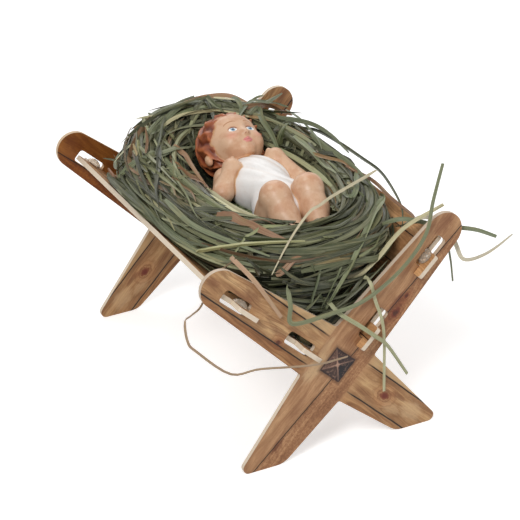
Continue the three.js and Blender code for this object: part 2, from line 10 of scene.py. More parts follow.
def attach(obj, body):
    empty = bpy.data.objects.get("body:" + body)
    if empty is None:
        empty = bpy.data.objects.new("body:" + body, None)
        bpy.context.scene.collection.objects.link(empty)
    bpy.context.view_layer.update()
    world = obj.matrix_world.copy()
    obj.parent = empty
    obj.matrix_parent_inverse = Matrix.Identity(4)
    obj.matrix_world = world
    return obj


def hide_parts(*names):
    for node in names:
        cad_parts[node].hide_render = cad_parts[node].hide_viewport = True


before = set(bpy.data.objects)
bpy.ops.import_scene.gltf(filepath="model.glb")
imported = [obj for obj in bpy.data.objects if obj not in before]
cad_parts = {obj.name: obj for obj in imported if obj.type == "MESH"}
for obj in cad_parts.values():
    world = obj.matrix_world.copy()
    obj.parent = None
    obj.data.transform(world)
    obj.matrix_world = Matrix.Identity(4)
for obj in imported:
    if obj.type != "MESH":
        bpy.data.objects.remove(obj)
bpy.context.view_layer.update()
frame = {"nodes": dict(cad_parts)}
nodes = frame["nodes"]
MM = 0.001
rng = np.random.default_rng(7)

# Nodes of the materials


def tone(red, green, blue):
    """A colour as the eye reads it, 0 to 255, in linear light."""
    linear = [v / 255 / 12.92 if v <= 10 else ((v / 255 + 0.055) / 1.055) ** 2.4 for v in (red, green, blue)]
    return (*linear, 1.0)


def add_object(name, data):
    made = bpy.data.objects.new(name, data)
    bpy.context.collection.objects.link(made)
    return made


class Value:
    """A socket that a node puts out. Sums, products, powers and the like of it are nodes too."""

    def __init__(self, nodes, socket):
        self.nodes, self.socket = nodes, socket

    def math(self, operation, *others):
        return self.nodes.node("Math", self, *others, operation=operation)

    __add__ = __radd__ = lambda self, other: self.math("ADD", other)
    __sub__ = lambda self, other: self.math("SUBTRACT", other)
    __rsub__ = lambda self, other: self * -1.0 + other
    __mul__ = lambda self, other: self.math("MULTIPLY", other)
    __truediv__ = lambda self, number: self * (1 / number)
    __pow__ = lambda self, other: self.math("POWER", other)
    __abs__ = lambda self: self.math("ABSOLUTE")

    def band(self, low, high, start=0.0, end=1.0):
        """Goes softly from start to end as the value goes from low to high."""
        return self.nodes.node("MapRange", self, low, high, start, end, interpolation_type="SMOOTHSTEP")

    def dot(self, direction):
        return self.nodes.node("VectorMath", self, direction, operation="DOT_PRODUCT", out=1)

    def stretch(self, *factors):
        return self.nodes.node("VectorMath", self, factors, operation="MULTIPLY")

    def noise(self, scale=1.0, detail=3.0, roughness=0.5, seed=0.0):
        moved = self.nodes.node("VectorMath", self, (seed * 7.3, seed * 3.1, seed * 5.7), operation="ADD")
        named = {"Vector": moved, "Scale": scale, "Detail": detail, "Roughness": roughness}
        return self.nodes.node("TexNoise", named=named)

    def by(self, other):
        """A vector of two values."""
        return self.nodes.node("CombineXYZ", self, other)

    def mix(self, share, other, blend="MIX"):
        return self.nodes.mix(share, self, other, blend)

    def between(self, a, b):
        """From colour a at 0 to colour b at 1."""
        return self.nodes.mix(self, a, b)

    def layers(self, *rows):
        """Colours mixed in, each at its share where its pattern goes from low to high."""
        colour = self
        for pattern, low, high, share, other, *blend in rows:
            colour = colour.mix(pattern.band(low, high) * share, other, *blend)
        return colour


class Nodes:
    """A tree of nodes. Values, numbers and colours from 0 to 255 go in alike."""

    def __init__(self, tree, end):
        self.tree, self.end = tree, tree.nodes[end]

    def put(self, socket, value):
        if isinstance(value, Value):
            self.tree.links.new(value.socket, socket)
        elif socket.type == "RGBA" and len(value) == 3:
            socket.default_value = tone(*value)
        else:
            socket.default_value = value

    def look(self, **inputs):
        for key, value in inputs.items():
            self.put(self.end.inputs[key.replace("_", " ")], value)

    def node(self, kind, *values, out=0, named=None, **settings):
        made = self.tree.nodes.new("ShaderNode" + kind)
        for key, value in settings.items():
            setattr(made, key, value)
        for place, value in list(enumerate(values)) + list((named or {}).items()):
            self.put(made.inputs[place], value)
        return Value(self, made.outputs[out])

    def seen(self):
        """1 for rays from the camera, straight or by way of gloss or glass."""
        kinds = ("Camera", "Glossy", "Transmission")
        straight, glossy, clear = (self.node("LightPath", out=f"Is {kind} Ray") for kind in kinds)
        return straight.math("MAXIMUM", glossy.math("MAXIMUM", clear))

    def mix(self, share, a, b, blend="MIX"):
        return self.node("Mix", named={0: share, 6: a, 7: b}, data_type="RGBA", blend_type=blend, out=2)

    def place(self):
        """The coordinates in millimetres."""
        return self.node("VectorMath", self.node("TexCoord", out=3), named={"Scale": 1000.0}, operation="SCALE")

    def attribute(self, name, out=0):
        return self.node("Attribute", attribute_name=name, out=out)

    def bump(self, height, strength, distance):
        self.look(Normal=self.node("Bump", named={"Strength": strength, "Distance": distance, "Height": height}))


class Shader(Nodes):
    def __init__(self, name, **inputs):
        self.material = bpy.data.materials.new(name)
        self.material.use_nodes = True
        super().__init__(self.material.node_tree, "Principled BSDF")
        self.look(**inputs)


# Camera, floor and light


def camera():
    azimuth, elevation, roll = (math.radians(v) for v in (-24.41, 27.0, -2.79))
    target = Vector((3.34, -1.25, 65.7)) * MM
    distance = 1.1979
    focal_pixels, frame_pixels, sensor = 2200, 520, 36
    flat = math.cos(elevation)
    back = Vector((math.sin(azimuth) * flat, -math.cos(azimuth) * flat, math.sin(elevation)))
    data = bpy.data.cameras.new("camera")
    made = add_object("camera", data)
    right = Vector((0, 0, 1)).cross(back).normalized()
    up = back.cross(right)
    turn = Matrix((right, up, back)).transposed() @ Matrix.Rotation(roll, 3, "Z")
    made.matrix_world = Matrix.Translation(target + back * distance) @ turn.to_4x4()
    data.sensor_width = sensor
    data.lens = focal_pixels / frame_pixels * sensor
    data.clip_start, data.clip_end = 0.05, 20
    bpy.context.scene.camera = made


def stage():
    reach, below = 6.0, 0.0002
    mesh = bpy.data.meshes.new("floor")
    corners = [(-reach, -reach, 0), (reach, -reach, 0), (reach, reach, 0), (-reach, reach, 0)]
    mesh.from_pydata(corners, [], [(0, 1, 2, 3)])
    floor = add_object("floor", mesh)
    floor.location.z = -below
    paint = Shader("floor_paint", Base_Color=(0.86, 0.86, 0.86, 1), Roughness=0.9, Specular_IOR_Level=0.1)
    paint.look(Emission_Color=(1, 1, 1, 1), Emission_Strength=paint.seen() * 0.45)
    mesh.materials.append(paint.material)

    world = bpy.data.worlds.new("world")
    bpy.context.scene.world = world
    world.use_nodes = True
    sky = Nodes(world.node_tree, "Background")
    ambient, shown = 0.38, 1.0
    sky.look(Color=(1, 1, 1, 1), Strength=sky.node("MapRange", sky.seen(), 0.0, 1.0, ambient, shown))

    for name, place, size, power in (
        ("key", (-0.75, -0.85, 1.25), 0.5, 13.5),
        ("fill", (1.1, -0.7, 0.8), 0.9, 3.5),
        ("rim", (0.3, 1.1, 1.1), 0.8, 6.0),
    ):
        data = bpy.data.lights.new(name, "AREA")
        data.size, data.energy = size, power
        lamp = add_object(name, data)
        lamp.location = place
        lamp.rotation_euler = (Vector((0, 0, 0.08)) - Vector(place)).to_track_quat("-Z", "Y").to_euler()


# Printed pine boards

ARM_ANGLE = math.atan2(60.3, 63.0)
PLANK_ANGLE = math.radians(45.5)
CROSSING = 49.1
RED_STAIN, PALE_STAIN = (110, 58, 42), (216, 190, 154)


def knot(colour, u, v, at_u, at_v, radius, dark):
    """A knot with a dark core and uneven growth rings drawn out along the grain."""
    away = (((v - at_v) / radius) ** 2 + ((u - at_u) / (1.35 * radius)) ** 2).math("SQRT")
    away = away + (u.by(v).noise(0.5, 3, 0.6, at_u) - 0.5) * 1.5
    rings = (away * 5.2).math("SINE")
    fade = away.band(0.9, 1.3) * away.band(3.6, 1.8)
    colour = colour.mix(fade * 0.3, (186, 130, 88)).mix(rings.band(0.1, 0.95) * fade * 0.5, (122, 76, 48))
    return colour.layers((away, 1.3, 0.85, 0.9, (132, 70, 48)), (away, 0.95, 0.35, 1, dark))


def smear(colour, u, v, at_u, at_v, long, wide, share, stain_and_shade=(118, 72, 48)):
    """A soft stain drawn out along the grain."""
    ragged = ((u * 0.25).by(v).noise(0.8, 4, 0.65, at_u) - 0.5) * 2.4
    away = ((u - at_u) / long) ** 2 + ((v - at_v) / wide) ** 2 + ragged
    return colour.mix(away.band(1.3, 0.1) * share, stain_and_shade)


def plank(u, v, seed, light, middle, dark, seams, knots, speckle=0.3, figure=0.3, patch=0.5, smears=()):
    """The colour of a printed plank: u runs along it and v across it, in millimetres."""

    def grain(long, across, detail, roughness, step):
        return (u / long).by(across).noise(1.0, detail, roughness, seed + step)

    line = v
    for at_u, at_v, radius, _ in knots:
        near = ((u - at_u) / (4.2 * radius)) ** 2 + ((v - at_v) / (2.4 * radius)) ** 2
        line = line + (v - at_v) * (near * -1.0).math("EXPONENT") * -0.62
    line = line + grain(42, v / 14, 2, 0.5, 0) * 11.0
    share = grain(95, line / 1.5, 4, 0.6, 1) * 0.5 + grain(24, line / 6.5, 3, 0.55, 2) * 0.5
    stain_and_shade = grain(15, v / 8, 4, 0.65, 6)
    colour = share.band(0.36, 0.54).between(light, middle).layers(
        (share, 0.5, 0.68, 0.6, dark),
        (grain(9, v / 0.32, 2, 0.6, 3), 0.45, 0.72, 0.22, dark),
        (stain_and_shade, 0.52, 0.72, patch, dark),
        (abs(grain(75, line / 7, 2, 0.5, 8) - 0.5), 0.03, 0.004, figure, dark),
        (stain_and_shade, 0.45, 0.3, patch, light),
    )
    for smeared in smears:
        colour = smear(colour, u, v, *smeared)
    colour = colour.layers((grain(1.1, v / 0.6, 3, 0.6, 4), 0.56, 0.7, speckle, (92, 58, 40)))
    for at_u, at_v, radius, red in knots:
        colour = knot(colour, u, v, at_u, at_v, radius, (112, 50, 38) if red else (86, 48, 34))
    for place, slope, width in seams:
        wander = (grain(18, place, 2, 0.6, 0) - 0.5) * 0.8
        away = abs(v - place + (u * -slope + wander))
        colour = colour.layers(
            (away, width * 7, width, 0.28, (104, 66, 42)), (away, width, width * 0.5, 1, (20, 13, 9))
        )
    return colour


def nail(colour, u, v):
    """A forged nail head with four sloping faces, printed flat at the crossing."""
    half = 7.3
    reach = abs(u).math("MAXIMUM", abs(v))
    edge = reach + (u.by(v).noise(0.55, 3, 0.6, 3) - 0.5) * 0.8
    right, upper = (v - u).band(0.6, -0.6), (v + u).band(-0.6, 0.6)
    face = upper.between((70, 54, 50), (104, 80, 72)).mix(right, upper.between((26, 24, 30), (62, 48, 48)))
    pits = u.by(v).noise(0.75, 4, 0.7, 9)
    light = 0.25 + (1.0 + right * -0.7) * 0.5
    ridge = (abs(abs(u) - abs(v)) + (pits - 0.5) * 3.0).band(0.7, 0.1)
    face = face.layers((pits, 0.52, 0.64, light, (158, 128, 114)), (pits, 0.46, 0.36, 0.75, (26, 20, 22)))
    face = face.mix(ridge * (0.3 + reach.band(5.6, 1.0) * 0.5), (184, 152, 138))
    face = face.layers(
        (reach, 1.5, 0.5, 0.7, (196, 166, 150)), (edge, half - 1.1, half - 0.5, 0.75, (40, 28, 28))
    )
    return colour.layers((edge, half + 2.2, half, 0.6, (84, 54, 40)), (edge, half + 0.25, half - 0.15, 1, face))


def finish_board(shader, printed, face_share, inner_shade, tint=(241, 230, 218), stain_and_shade=(150, 100, 58)):
    """Cut edges are the pale core of the board; printed faces get a satin coat. Where inner_shade is above 0 the
    last colour is multiplied in: painted shade.
    """
    here = shader.place()
    core = (here.noise(0.9, 3, 0.6) * 0.5).between((226, 212, 192), (204, 180, 150))
    colour = core.mix(face_share, printed.mix(1.0, tint, "MULTIPLY")).mix(inner_shade, stain_and_shade, "MULTIPLY")
    shader.look(Base_Color=colour, Roughness=0.52, Specular_IOR_Level=0.35)
    shader.bump(here.noise(1.6, 3, 0.6), 0.12, 0.0002)
    return shader.material


def board_material(name, side):
    """Crossed planks on both faces of an end board; side is -1 where the print is turned round."""
    shader = Shader(name)
    here = shader.place()
    x, z = here.dot((1, 0, 0)) * side, here.dot((0, 0, 1)) - CROSSING
    c, s = math.cos(PLANK_ANGLE), math.sin(PLANK_ANGLE)
    u, v = x * c + z * s, x * -s + z * c
    rising = plank(
        u, v, 2.0, (208, 172, 134), (180, 141, 106), (132, 92, 64),
        seams=((-3.0, -0.065, 0.36),), knots=((49.3, -8.6, 1.2, 0), (39, -9.6, 2.2, 0)), speckle=0.22, figure=0.15,
        smears=(
            (-52, -0.4, 5.5, 1.8, 0.8), (-46, 1.2, 7, 1.6, 0.35), (-30, 4.0, 9, 2.5, 0.3), (22, 3, 12, 2.5, 0.25),
            (60, 3, 8, 3, 0.35), (16.5, 5, 7, 2, 0.4), (91, 0.5, 8, 4, 0.6), (84, 5, 8, 2.5, 0.35),
            (43, -7, 9, 3.8, 0.95, RED_STAIN), (34, -8.5, 6, 2.6, 0.6, RED_STAIN),
            (-7, 10.5, 11, 4.5, 0.75, PALE_STAIN), (3, 12.5, 8, 2.5, 0.5, PALE_STAIN),
        ),
    )
    lower = (v + u * 0.065).band(-2.8, -3.6)
    rough = u.by(v).noise(0.9, 3, 0.7, 5).band(0.4, 0.6).between((255, 248, 240), (184, 146, 124))
    rising = rising.mix(lower * 0.5, rough, "MULTIPLY")
    across = x * s + z * c
    falling = plank(
        x * -c + z * s, across, 11.0, (218, 188, 144), (184, 146, 106), (118, 82, 54),
        seams=((-8.6, -0.01, 0.52), (9.6, 0.0, 0.46)), knots=((-37.3, 0.7, 2.1, 1), (38.9, -7.7, 1.3, 0)),
        speckle=0.2, figure=0.5, patch=0.4,
        smears=(
            (-45.5, 4.6, 6.5, 1.5, 0.6), (-50, 0.5, 8, 1.5, 0.25), (42, -3.5, 8, 2.6, 0.5), (34, 1.5, 7, 2.4, 0.4),
            (70, 4, 7, 2.6, 0.5), (58, -5, 10, 1.6, 0.35), (-24, -4, 9, 1.8, 0.35), (24, 5, 6, 2.0, 0.4),
            (93, -1.5, 4.5, 2.4, 0.6), (73, 0.5, 10, 1.6, 0.45), (50, 5, 8, 1.8, 0.4),
            (-58, 2, 8, 6, 0.6, PALE_STAIN), (-46, -3, 7, 3, 0.5, PALE_STAIN), (-40, 3.4, 5, 1.4, 0.6),
        ),
    )
    halo = abs(v).band(21.0, 15.0) * abs(u).band(25.0, 17.0)
    falling = falling.layers(
        (across, 9.9, 10.5, 0.55, (232, 208, 166)), (across, -8.8, -9.4, 0.6, (226, 200, 178), "MULTIPLY")
    ).mix(halo * 0.5, (192, 154, 116))
    over = (x * z).band(-2.0, 2.0).math("MAXIMUM", abs(v).band(16.2, 14.6))
    colour = nail(falling.mix(over, rising), u, v)
    facing = shader.node("NewGeometry", out=3).dot((0, 1, 0))
    face = abs(facing).band(0.4, 0.6)
    # Painted shade: the inner faces of the arms are multiplied darker, rising from 12 to 26 mm above the crossing.
    # On the rear board the colour is warmer and strongest on the left arm, where it also stands for that arm's
    # orange-brown print.
    shade = (1.0 - (facing * side).band(0.3, -0.3)) * z.band(12.0, 26.0)
    if side > 0:
        return finish_board(shader, colour, face, shade * 0.55)
    warm = x.band(-6.0, 6.0, 0.2, 0.9)
    return finish_board(shader, colour, face, shade * warm, (228, 216, 202), (214, 168, 84))


def panel_material(name, side):
    """Planks that run along the trough, on both faces of a side panel."""
    shader = Shader(name)
    here = shader.place()
    c, s = math.cos(ARM_ANGLE), math.sin(ARM_ANGLE)
    along = here.dot((0, 1, 0))
    colour = plank(
        along, here.dot((side * c, 0, s)) - CROSSING * s, 21.0 + side,
        (222, 182, 136), (190, 148, 106), (128, 86, 56),
        seams=((20.0, 0.0, 0.35), (40.5, 0.004, 0.35), (58.5, 0.0, 0.35), (75.3, -0.003, 0.38)),
        knots=((-58, 66.5, 2.2, 1), (12, 31, 2.6, 1), (61, 49, 2.0, 0), (-20, 81, 1.6, 0)),
    )
    flat = shader.node("NewGeometry", out=3).dot((-side * s, 0, c))
    # Painted shade: the panels' faces inside the trough, away from the ends, are multiplied very slightly darker.
    trough = flat.band(0.2, 0.6) * abs(along).band(97.5, 95.0)
    return finish_board(shader, colour, abs(flat).band(0.6, 0.8), trough * 0.02, (250, 238, 224))


def dress_boards():
    looks = {
        "front_cross_board": board_material("front_board_print", 1),
        "rear_cross_board": board_material("rear_board_print", -1),
        "left_side_panel": panel_material("left_panel_print", -1),
        "right_side_panel": panel_material("right_panel_print", 1),
    }
    dot = Shader("clear_dot", Base_Color=(222, 206, 186), Transmission_Weight=0.68, IOR=1.3)
    haze = dot.place().noise(0.5, 2, 0.5)
    dot.look(Roughness=haze.band(0.3, 0.7, 0.1, 0.25))
    dot.bump(haze, 0.03, 0.0003)
    for name, node in nodes.items():
        clear = name.endswith("dot")
        look = dot.material if clear else looks.get(name)
        if look:
            node.data.materials.clear()
            node.data.materials.append(look)
        if clear:
            node.data.shade_smooth()


# Infant figurine, one painted casting

X0, BACK = 8.0, CROSSING + 44.9
HEAD = np.array([X0, 38.0, BACK + 23.0])
FACE_TILT, FACE_TURN = math.radians(24), math.radians(12)
TURN = np.array(Matrix.Rotation(FACE_TILT, 3, "X") @ Matrix.Rotation(FACE_TURN, 3, "Y"))
CHEST = np.array([X0, 6.0, BACK + 13.5])
HIPS = np.array([X0, -26.0, BACK + 13.0])


def length(points):
    return np.sqrt((points**2).sum(-1))


def egg(points, centre, radii):
    """Signed distance to an ellipsoid, close to its surface."""
    local = points - np.asarray(centre, np.float32)
    radii = np.asarray(radii, np.float32)
    near = length(local / radii)
    return near * (near - 1) / np.maximum(length(local / radii**2), 1e-6)


def rod(points, start, end, first, last):
    """Signed distance to a round rod whose radius changes from first to last."""
    start, end = np.asarray(start, np.float32), np.asarray(end, np.float32)
    axis = end - start
    share = np.clip(((points - start) @ axis) / (axis @ axis), 0, 1)
    return length(points - start - share[..., None] * axis) - first - (last - first) * share


def meld(a, b, soft):
    """The lower of two distances, with a rounded valley where they meet."""
    near = np.maximum(soft - np.abs(a - b), 0) / soft
    return np.minimum(a, b) - near**2 * soft / 4


def carve(a, b, soft):
    return -meld(-a, b, soft)


def smooth(value, low, high):
    share = np.clip((value - low) / (high - low), 0, 1)
    return share * share * (3 - 2 * share)


def in_head(points):
    return (points - HEAD.astype(np.float32)) @ TURN.astype(np.float32)


def hairline(local):
    """Above 0 where hair grows, in millimetres from the hairline."""
    x, y, z = (local / np.maximum(length(local), 1e-3)[:, None]).T
    around = np.arctan2(x, y)
    scallop = 0.06 * np.cos(5 * around + 0.7) + 0.045 * np.sin(9 * around) + 0.02 * np.sin(17 * around + 1)
    edge = 0.32 + 0.88 * np.maximum(y, 0) + 0.06 * np.minimum(y, 0)
    return (edge + scallop - z) * 17.0


def hair_locks(local):
    """Waves that run from the whorl at the back of the crown to the hairline."""
    whorl = np.array([0.12, 0.86, -0.5], np.float32)
    side = np.array([1.0, 0.0, 0.24], np.float32)
    side -= whorl * (side @ whorl)
    side /= np.linalg.norm(side)
    other = np.cross(whorl, side)
    way = local / np.maximum(length(local), 1e-3)[:, None]
    away = np.arccos(np.clip(way @ whorl, -1, 1))
    spin = np.arctan2(way @ other, way @ side)
    wave = spin + 0.16 * np.sin(5.5 * away + 2 * spin) + 0.5 * away
    lock = 1 - np.abs(np.sin(8.5 * wave + 0.5 * np.sin(7 * away))) ** 1.3
    fine = np.cos(33 * wave + 1.2 * np.sin(9 * away))
    return lock, fine, smooth(away, 0.05, 0.5)


def head_field(points):
    local = in_head(points)
    skin = egg(local, (0, 1.6, -1.2), (16.6, 16.3, 16.2))
    skin = meld(skin, egg(local, (0, 5.5, 3.4), (13.2, 10.8, 12.3)), 3)
    skin = meld(skin, egg(local, (0, -4.6, 2.8), (13.1, 11.4, 12.6)), 4)
    for side in (-1, 1):
        skin = meld(skin, egg(local, (side * 6.9, -6.2, 8.9), (5.3, 4.9, 5.4)), 3.5)
    skin = meld(skin, egg(local, (0, -12.2, 9.9), (4.0, 3.2, 3.9)), 3)
    for side in (-1, 1):
        skin = carve(skin, egg(local, (side * 5.5, -0.4, 16.6), (3.6, 2.3, 2.6)), 2.2)
        skin = meld(skin, egg(local, (side * 5.5, -0.9, 11.0), (3.5, 3.2, 3.5)), 0.7)
    skin = meld(skin, rod(local, (0, 0.8, 13.2), (0, -4.8, 15.9), 1.5, 1.6), 2.2)
    skin = meld(skin, egg(local, (0, -5.2, 16.2), (1.75, 1.45, 1.7)), 1.2)
    for side in (-1, 1):
        skin = meld(skin, egg(local, (side * 1.75, -5.6, 15.0), (1.1, 1.0, 1.2)), 0.8)
        skin = meld(skin, rod(local, (0, -8.45, 15.25), (side * 2.9, -9.3, 13.9), 0.75, 0.4), 0.5)
        skin = meld(skin, rod(local, (side * 0.5, -10.2, 14.7), (side * 2.3, -9.8, 13.9), 0.8, 0.45), 0.6)
        skin = meld(skin, rod(local, (side * 3.0, 0.75, 14.35), (side * 5.6, 1.75, 14.1), 0.35, 0.45), 0.6)
        skin = meld(skin, rod(local, (side * 5.6, 1.75, 14.1), (side * 8.3, 0.3, 12.6), 0.45, 0.3), 0.6)
    for side in (-1, 1):
        skin = meld(skin, egg(local, (side * 17.6, -7.2, -2.2), (2.0, 3.4, 2.4)), 0.8)
    line = hairline(local)
    lock, fine, grown = hair_locks(local)
    rise = smooth(line, -0.8, 2.6) * (2.6 + (1.9 * lock + 0.25 * fine) * grown) - 1.6
    hair = egg(local, (0, 1.7, -1.9), (16.6, 16.3, 16.4)) - rise
    return skin, np.where(line > -1.5, hair, 9.0)


def limbs():
    """Where the joints of each side's arm and leg lie."""
    for side in (-1, 1):
        reach, drop = (22.6, 2.5) if side < 0 else (19.2, -5.0)
        shoulder = (X0 + side * 14.6, 16.5, CHEST[2] + 2)
        elbow = (X0 + side * reach, drop, CHEST[2] + 1.5)
        fist = (X0 + side * 13.2, 10.6, CHEST[2] + 10.6)
        hip = (X0 + side * 9.0, -30.5, HIPS[2])
        knee = (X0 + side * 9.5, -35.0, BACK + 25.0)
        ankle = (X0 + side * 7.0, -57.5, BACK + 9.0)
        yield side, shoulder, elbow, fist, hip, knee, ankle


def body_fields(points):
    trunk = egg(points, CHEST, (16.6, 21.5, 13.2))
    trunk = meld(trunk, egg(points, HIPS, (17.0, 17.4, 12.6)), 5)
    trunk = meld(trunk, rod(points, CHEST, HIPS, 12.6, 12.2), 3)
    neck = rod(points, HEAD + TURN @ (0, -5, -5), (X0, 17, CHEST[2] + 1), 8.4, 8.4)
    arms, legs = [], []
    for side, shoulder, elbow, fist, hip, knee, ankle in limbs():
        arm = meld(rod(points, shoulder, elbow, 6.7, 5.7), rod(points, elbow, fist, 5.7, 4.5), 1.6)
        hand = egg(points, (fist[0] - side * 0.2, fist[1] + 0.6, fist[2] + 0.1), (5.0, 5.5, 5.2))
        for finger in range(4):
            start = (
                fist[0] - side * (2.4 - 0.2 * finger), fist[1] + 4.2 - 2.3 * finger, fist[2] + 3.3 - 0.3 * finger,
            )
            end = (fist[0] - side * 4.6, fist[1] + 3.6 - 2.1 * finger, fist[2] - 1.2)
            hand = meld(hand, rod(points, start, end, 1.35, 1.2), 0.45)
        arms.append(meld(arm, hand, 1.8))
        thigh = rod(points, hip, knee, 9.7, 8.2)
        shin = rod(points, knee, ankle, 8.0, 4.9)
        calf = egg(points, (knee[0] - side * 0.3, knee[1] - 8.5, knee[2] - 8.6), (7.6, 7.6, 7.6))
        leg = meld(meld(thigh, shin, 2.2), calf, 3.0)
        foot = egg(points, (ankle[0] + side * 0.3, ankle[1] - 2.6, ankle[2] + 2.0), (4.7, 7.4, 4.5))
        leg = meld(leg, foot, 2.5)
        for toe in range(5):
            at = (
                ankle[0] + side * (2.9 - 1.5 * toe), ankle[1] - 8.6 + 0.35 * abs(toe - 3),
                ankle[2] + 4.9 - 0.1 * toe,
            )
            leg = meld(leg, egg(points, at, (0.95, 1.3, 1.1)), 0.5)
        legs.append(leg)
    skin = meld(meld(trunk, neck, 3.0), np.minimum(*arms), 1.5)
    across = (points[:, 0] - X0) + 0.35 * (points[:, 1] + 10)
    fold = np.sin(
        across * 0.95 + 1.3 * np.sin(points[:, 1] * 0.09) + 0.9 * np.sin(points[:, 2] * 0.21 + points[:, 1] * 0.05)
    )
    crease = np.sin(across * 0.41 + 0.06 * points[:, 1])
    wrap = trunk - 0.75 - 0.15 * np.sign(fold) * np.abs(fold) ** 0.7 - 0.2 * crease
    collar = points[:, 1] + 0.22 * (points[:, 2] - CHEST[2]) - 22.5 + 0.06 * np.abs(points[:, 0] - X0)
    wrap = np.maximum(wrap, collar)
    return skin, wrap, arms, legs


def infant_field(points):
    """Distance to the casting, with its parts for the paint."""
    points = points.astype(np.float32)
    body, wrap, arms, legs = body_fields(points)
    head, hair = head_field(points)
    leg = meld(legs[0], legs[1], 1.2)
    skin = meld(meld(body, leg, 1.3), head, 1.6)
    whole = meld(meld(skin, wrap, 0.5), hair, 0.5)
    return whole, skin, wrap, hair, np.minimum(*arms), leg, head


def surface(low, high, step):
    """A net of quads over the casting, one point in each cell that the surface crosses."""
    shape = np.ceil((np.subtract(high, low)) / step).astype(int)
    across, y, z = (start + step * np.arange(count) for start, count in zip(low, shape))
    y, z = np.meshgrid(y, z, indexing="ij")
    field = np.empty(shape, np.float32)
    for i, x in enumerate(across):
        slab = np.stack([np.full(y.shape, x), y, z], -1).reshape(-1, 3)
        field[i] = infant_field(slab)[0].reshape(shape[1:])
    inside = field < 0
    corners = np.array(list(np.ndindex(2, 2, 2)))
    cell = tuple(shape - 1)
    count = sum(inside[a : a + cell[0], b : b + cell[1], c : c + cell[2]].astype(np.int8) for a, b, c in corners)
    active = (count > 0) & (count < 8)
    cells = np.argwhere(active)
    number = np.full(cell, -1)
    number[active] = np.arange(len(cells))
    total, met = np.zeros((len(cells), 3)), np.zeros(len(cells))
    for corner in corners:
        for axis in np.flatnonzero(corner == 0):
            along = np.eye(3, dtype=int)[axis]
            first, second = (field[tuple((cells + end).T)] for end in (corner, corner + along))
            cross = (first < 0) != (second < 0)
            share = np.where(cross, first / np.where(cross, first - second, 1), 0)
            total[cross] += (corner + share[:, None] * along)[cross]
            met += cross
    points = (cells + total / met[:, None]) * step + np.asarray(low)
    faces = []
    for axis in range(3):
        b, c = (axis + 1) % 3, (axis + 2) % 3
        first = np.take(inside, np.arange(shape[axis] - 1), axis)
        second = np.take(inside, np.arange(1, shape[axis]), axis)
        edges = np.argwhere(first != second)
        for side in (b, c):
            edges = edges[(edges[:, side] > 0) & (edges[:, side] < shape[side] - 1)]
        outward = first[tuple(edges.T)]
        quad = []
        for back in ((1, 1), (0, 1), (0, 0), (1, 0)):
            at = edges.copy()
            at[:, (b, c)] -= back
            quad.append(number[tuple(at.T)])
        quad = np.stack(quad, 1)
        quad[~outward] = quad[~outward][:, ::-1]
        faces.append(quad)
    return points, np.concatenate(faces)


def build_mesh(name, points, faces, attributes=None):
    """A mesh object from points in millimetres and quads, with one value or colour per point."""
    mesh = bpy.data.meshes.new(name)
    mesh.vertices.add(len(points))
    mesh.vertices.foreach_set("co", (np.asarray(points) * MM).astype(np.float32).ravel())
    width = faces.shape[1]
    mesh.loops.add(faces.size)
    mesh.loops.foreach_set("vertex_index", faces.astype(np.int32).ravel())
    mesh.polygons.add(len(faces))
    mesh.polygons.foreach_set("loop_start", np.arange(0, faces.size, width, dtype=np.int32))
    mesh.polygons.foreach_set("loop_total", np.full(len(faces), width, np.int32))
    mesh.update()
    for key, values in (attributes or {}).items():
        values = np.asarray(values, np.float32)
        kind, field = ("FLOAT_VECTOR", "vector") if values.ndim == 2 else ("FLOAT", "value")
        mesh.attributes.new(key, kind, "POINT").data.foreach_set(field, values.ravel())
    mesh.shade_smooth()
    return add_object(name, mesh)


def linear(*colour):
    return np.array(tone(*colour)[:3])


def blend(share, a, b):
    return a + np.asarray(share)[:, None] * (b - a)


def infant_paint(points):
    _, skin, wrap, hair, arm, leg, head = infant_field(points)
    local = in_head(points.astype(np.float32))
    knees = np.full(len(points), 99.0)
    for side, shoulder, elbow, _, _, knee, _ in limbs():
        for joint, shift, reach in ((knee, (0, -1, 5), 7), (elbow, (side * 2, -2, 2), 5), (shoulder, (0, 3, 5), 6)):
            knees = np.minimum(knees, length(points - np.add(joint, shift)) / reach)
    cheeks = [length((local - (side * 7.4, -5.4, 12.6)) / (4.2, 3.4, 4.0)) for side in (-1, 1)]
    second = np.sort(np.stack([arm, leg, head, wrap, hair]), 0)[1]
    recess = smooth(second, 2.4, 0.2) * smooth(hair, -0.2, 0.5) * smooth(local[:, 2], 14, 11)
    first, other, third = (points @ way for way in ((0.9, 0.5, 0.7), (-0.6, 1.1, 0.8), (0.3, -0.9, 1.3)))
    worn = smooth(np.sin(first) + np.sin(other + 1.7) + np.sin(third), 0.8, 2.2)
    cloth = smooth(skin - wrap, -0.05, 0.25)
    rim = smooth(np.abs(skin - wrap - 0.05), 0.5, 0.05)
    grown = smooth(skin - hair, -0.12, 0.1) * (hair < 8)
    edge = smooth(np.abs(skin - hair), 0.8, 0.1) * (hair < 8) * (1 - grown)
    colour = linear(216, 177, 145)
    for share, over in (
        (0.4 * smooth(knees, 1.2, 0.2), (208, 150, 116)),
        *((0.5 * smooth(cheek, 1.15, 0.2), (226, 132, 122)) for cheek in cheeks),
        (0.7 * recess, (186, 132, 80)),
        (0.35 * worn * smooth(knees, 1.9, 0.9), (236, 210, 184)),
        (cloth, (240, 237, 234)),
        (0.8 * rim * smooth(np.abs(wrap), 1.5, 0.5), (196, 144, 84)),
        (0.5 * edge, (178, 112, 70)),
    ):
        colour = blend(share, colour, linear(*over))
    lock, fine, rooted = hair_locks(local)
    groove = (1 - lock) * 0.75 + 0.18 * (1 - fine)
    tress = blend(np.clip(groove * rooted, 0, 1), linear(188, 110, 68), linear(104, 46, 28))
    return blend(grown, colour, tress), cloth * (1 - grown)


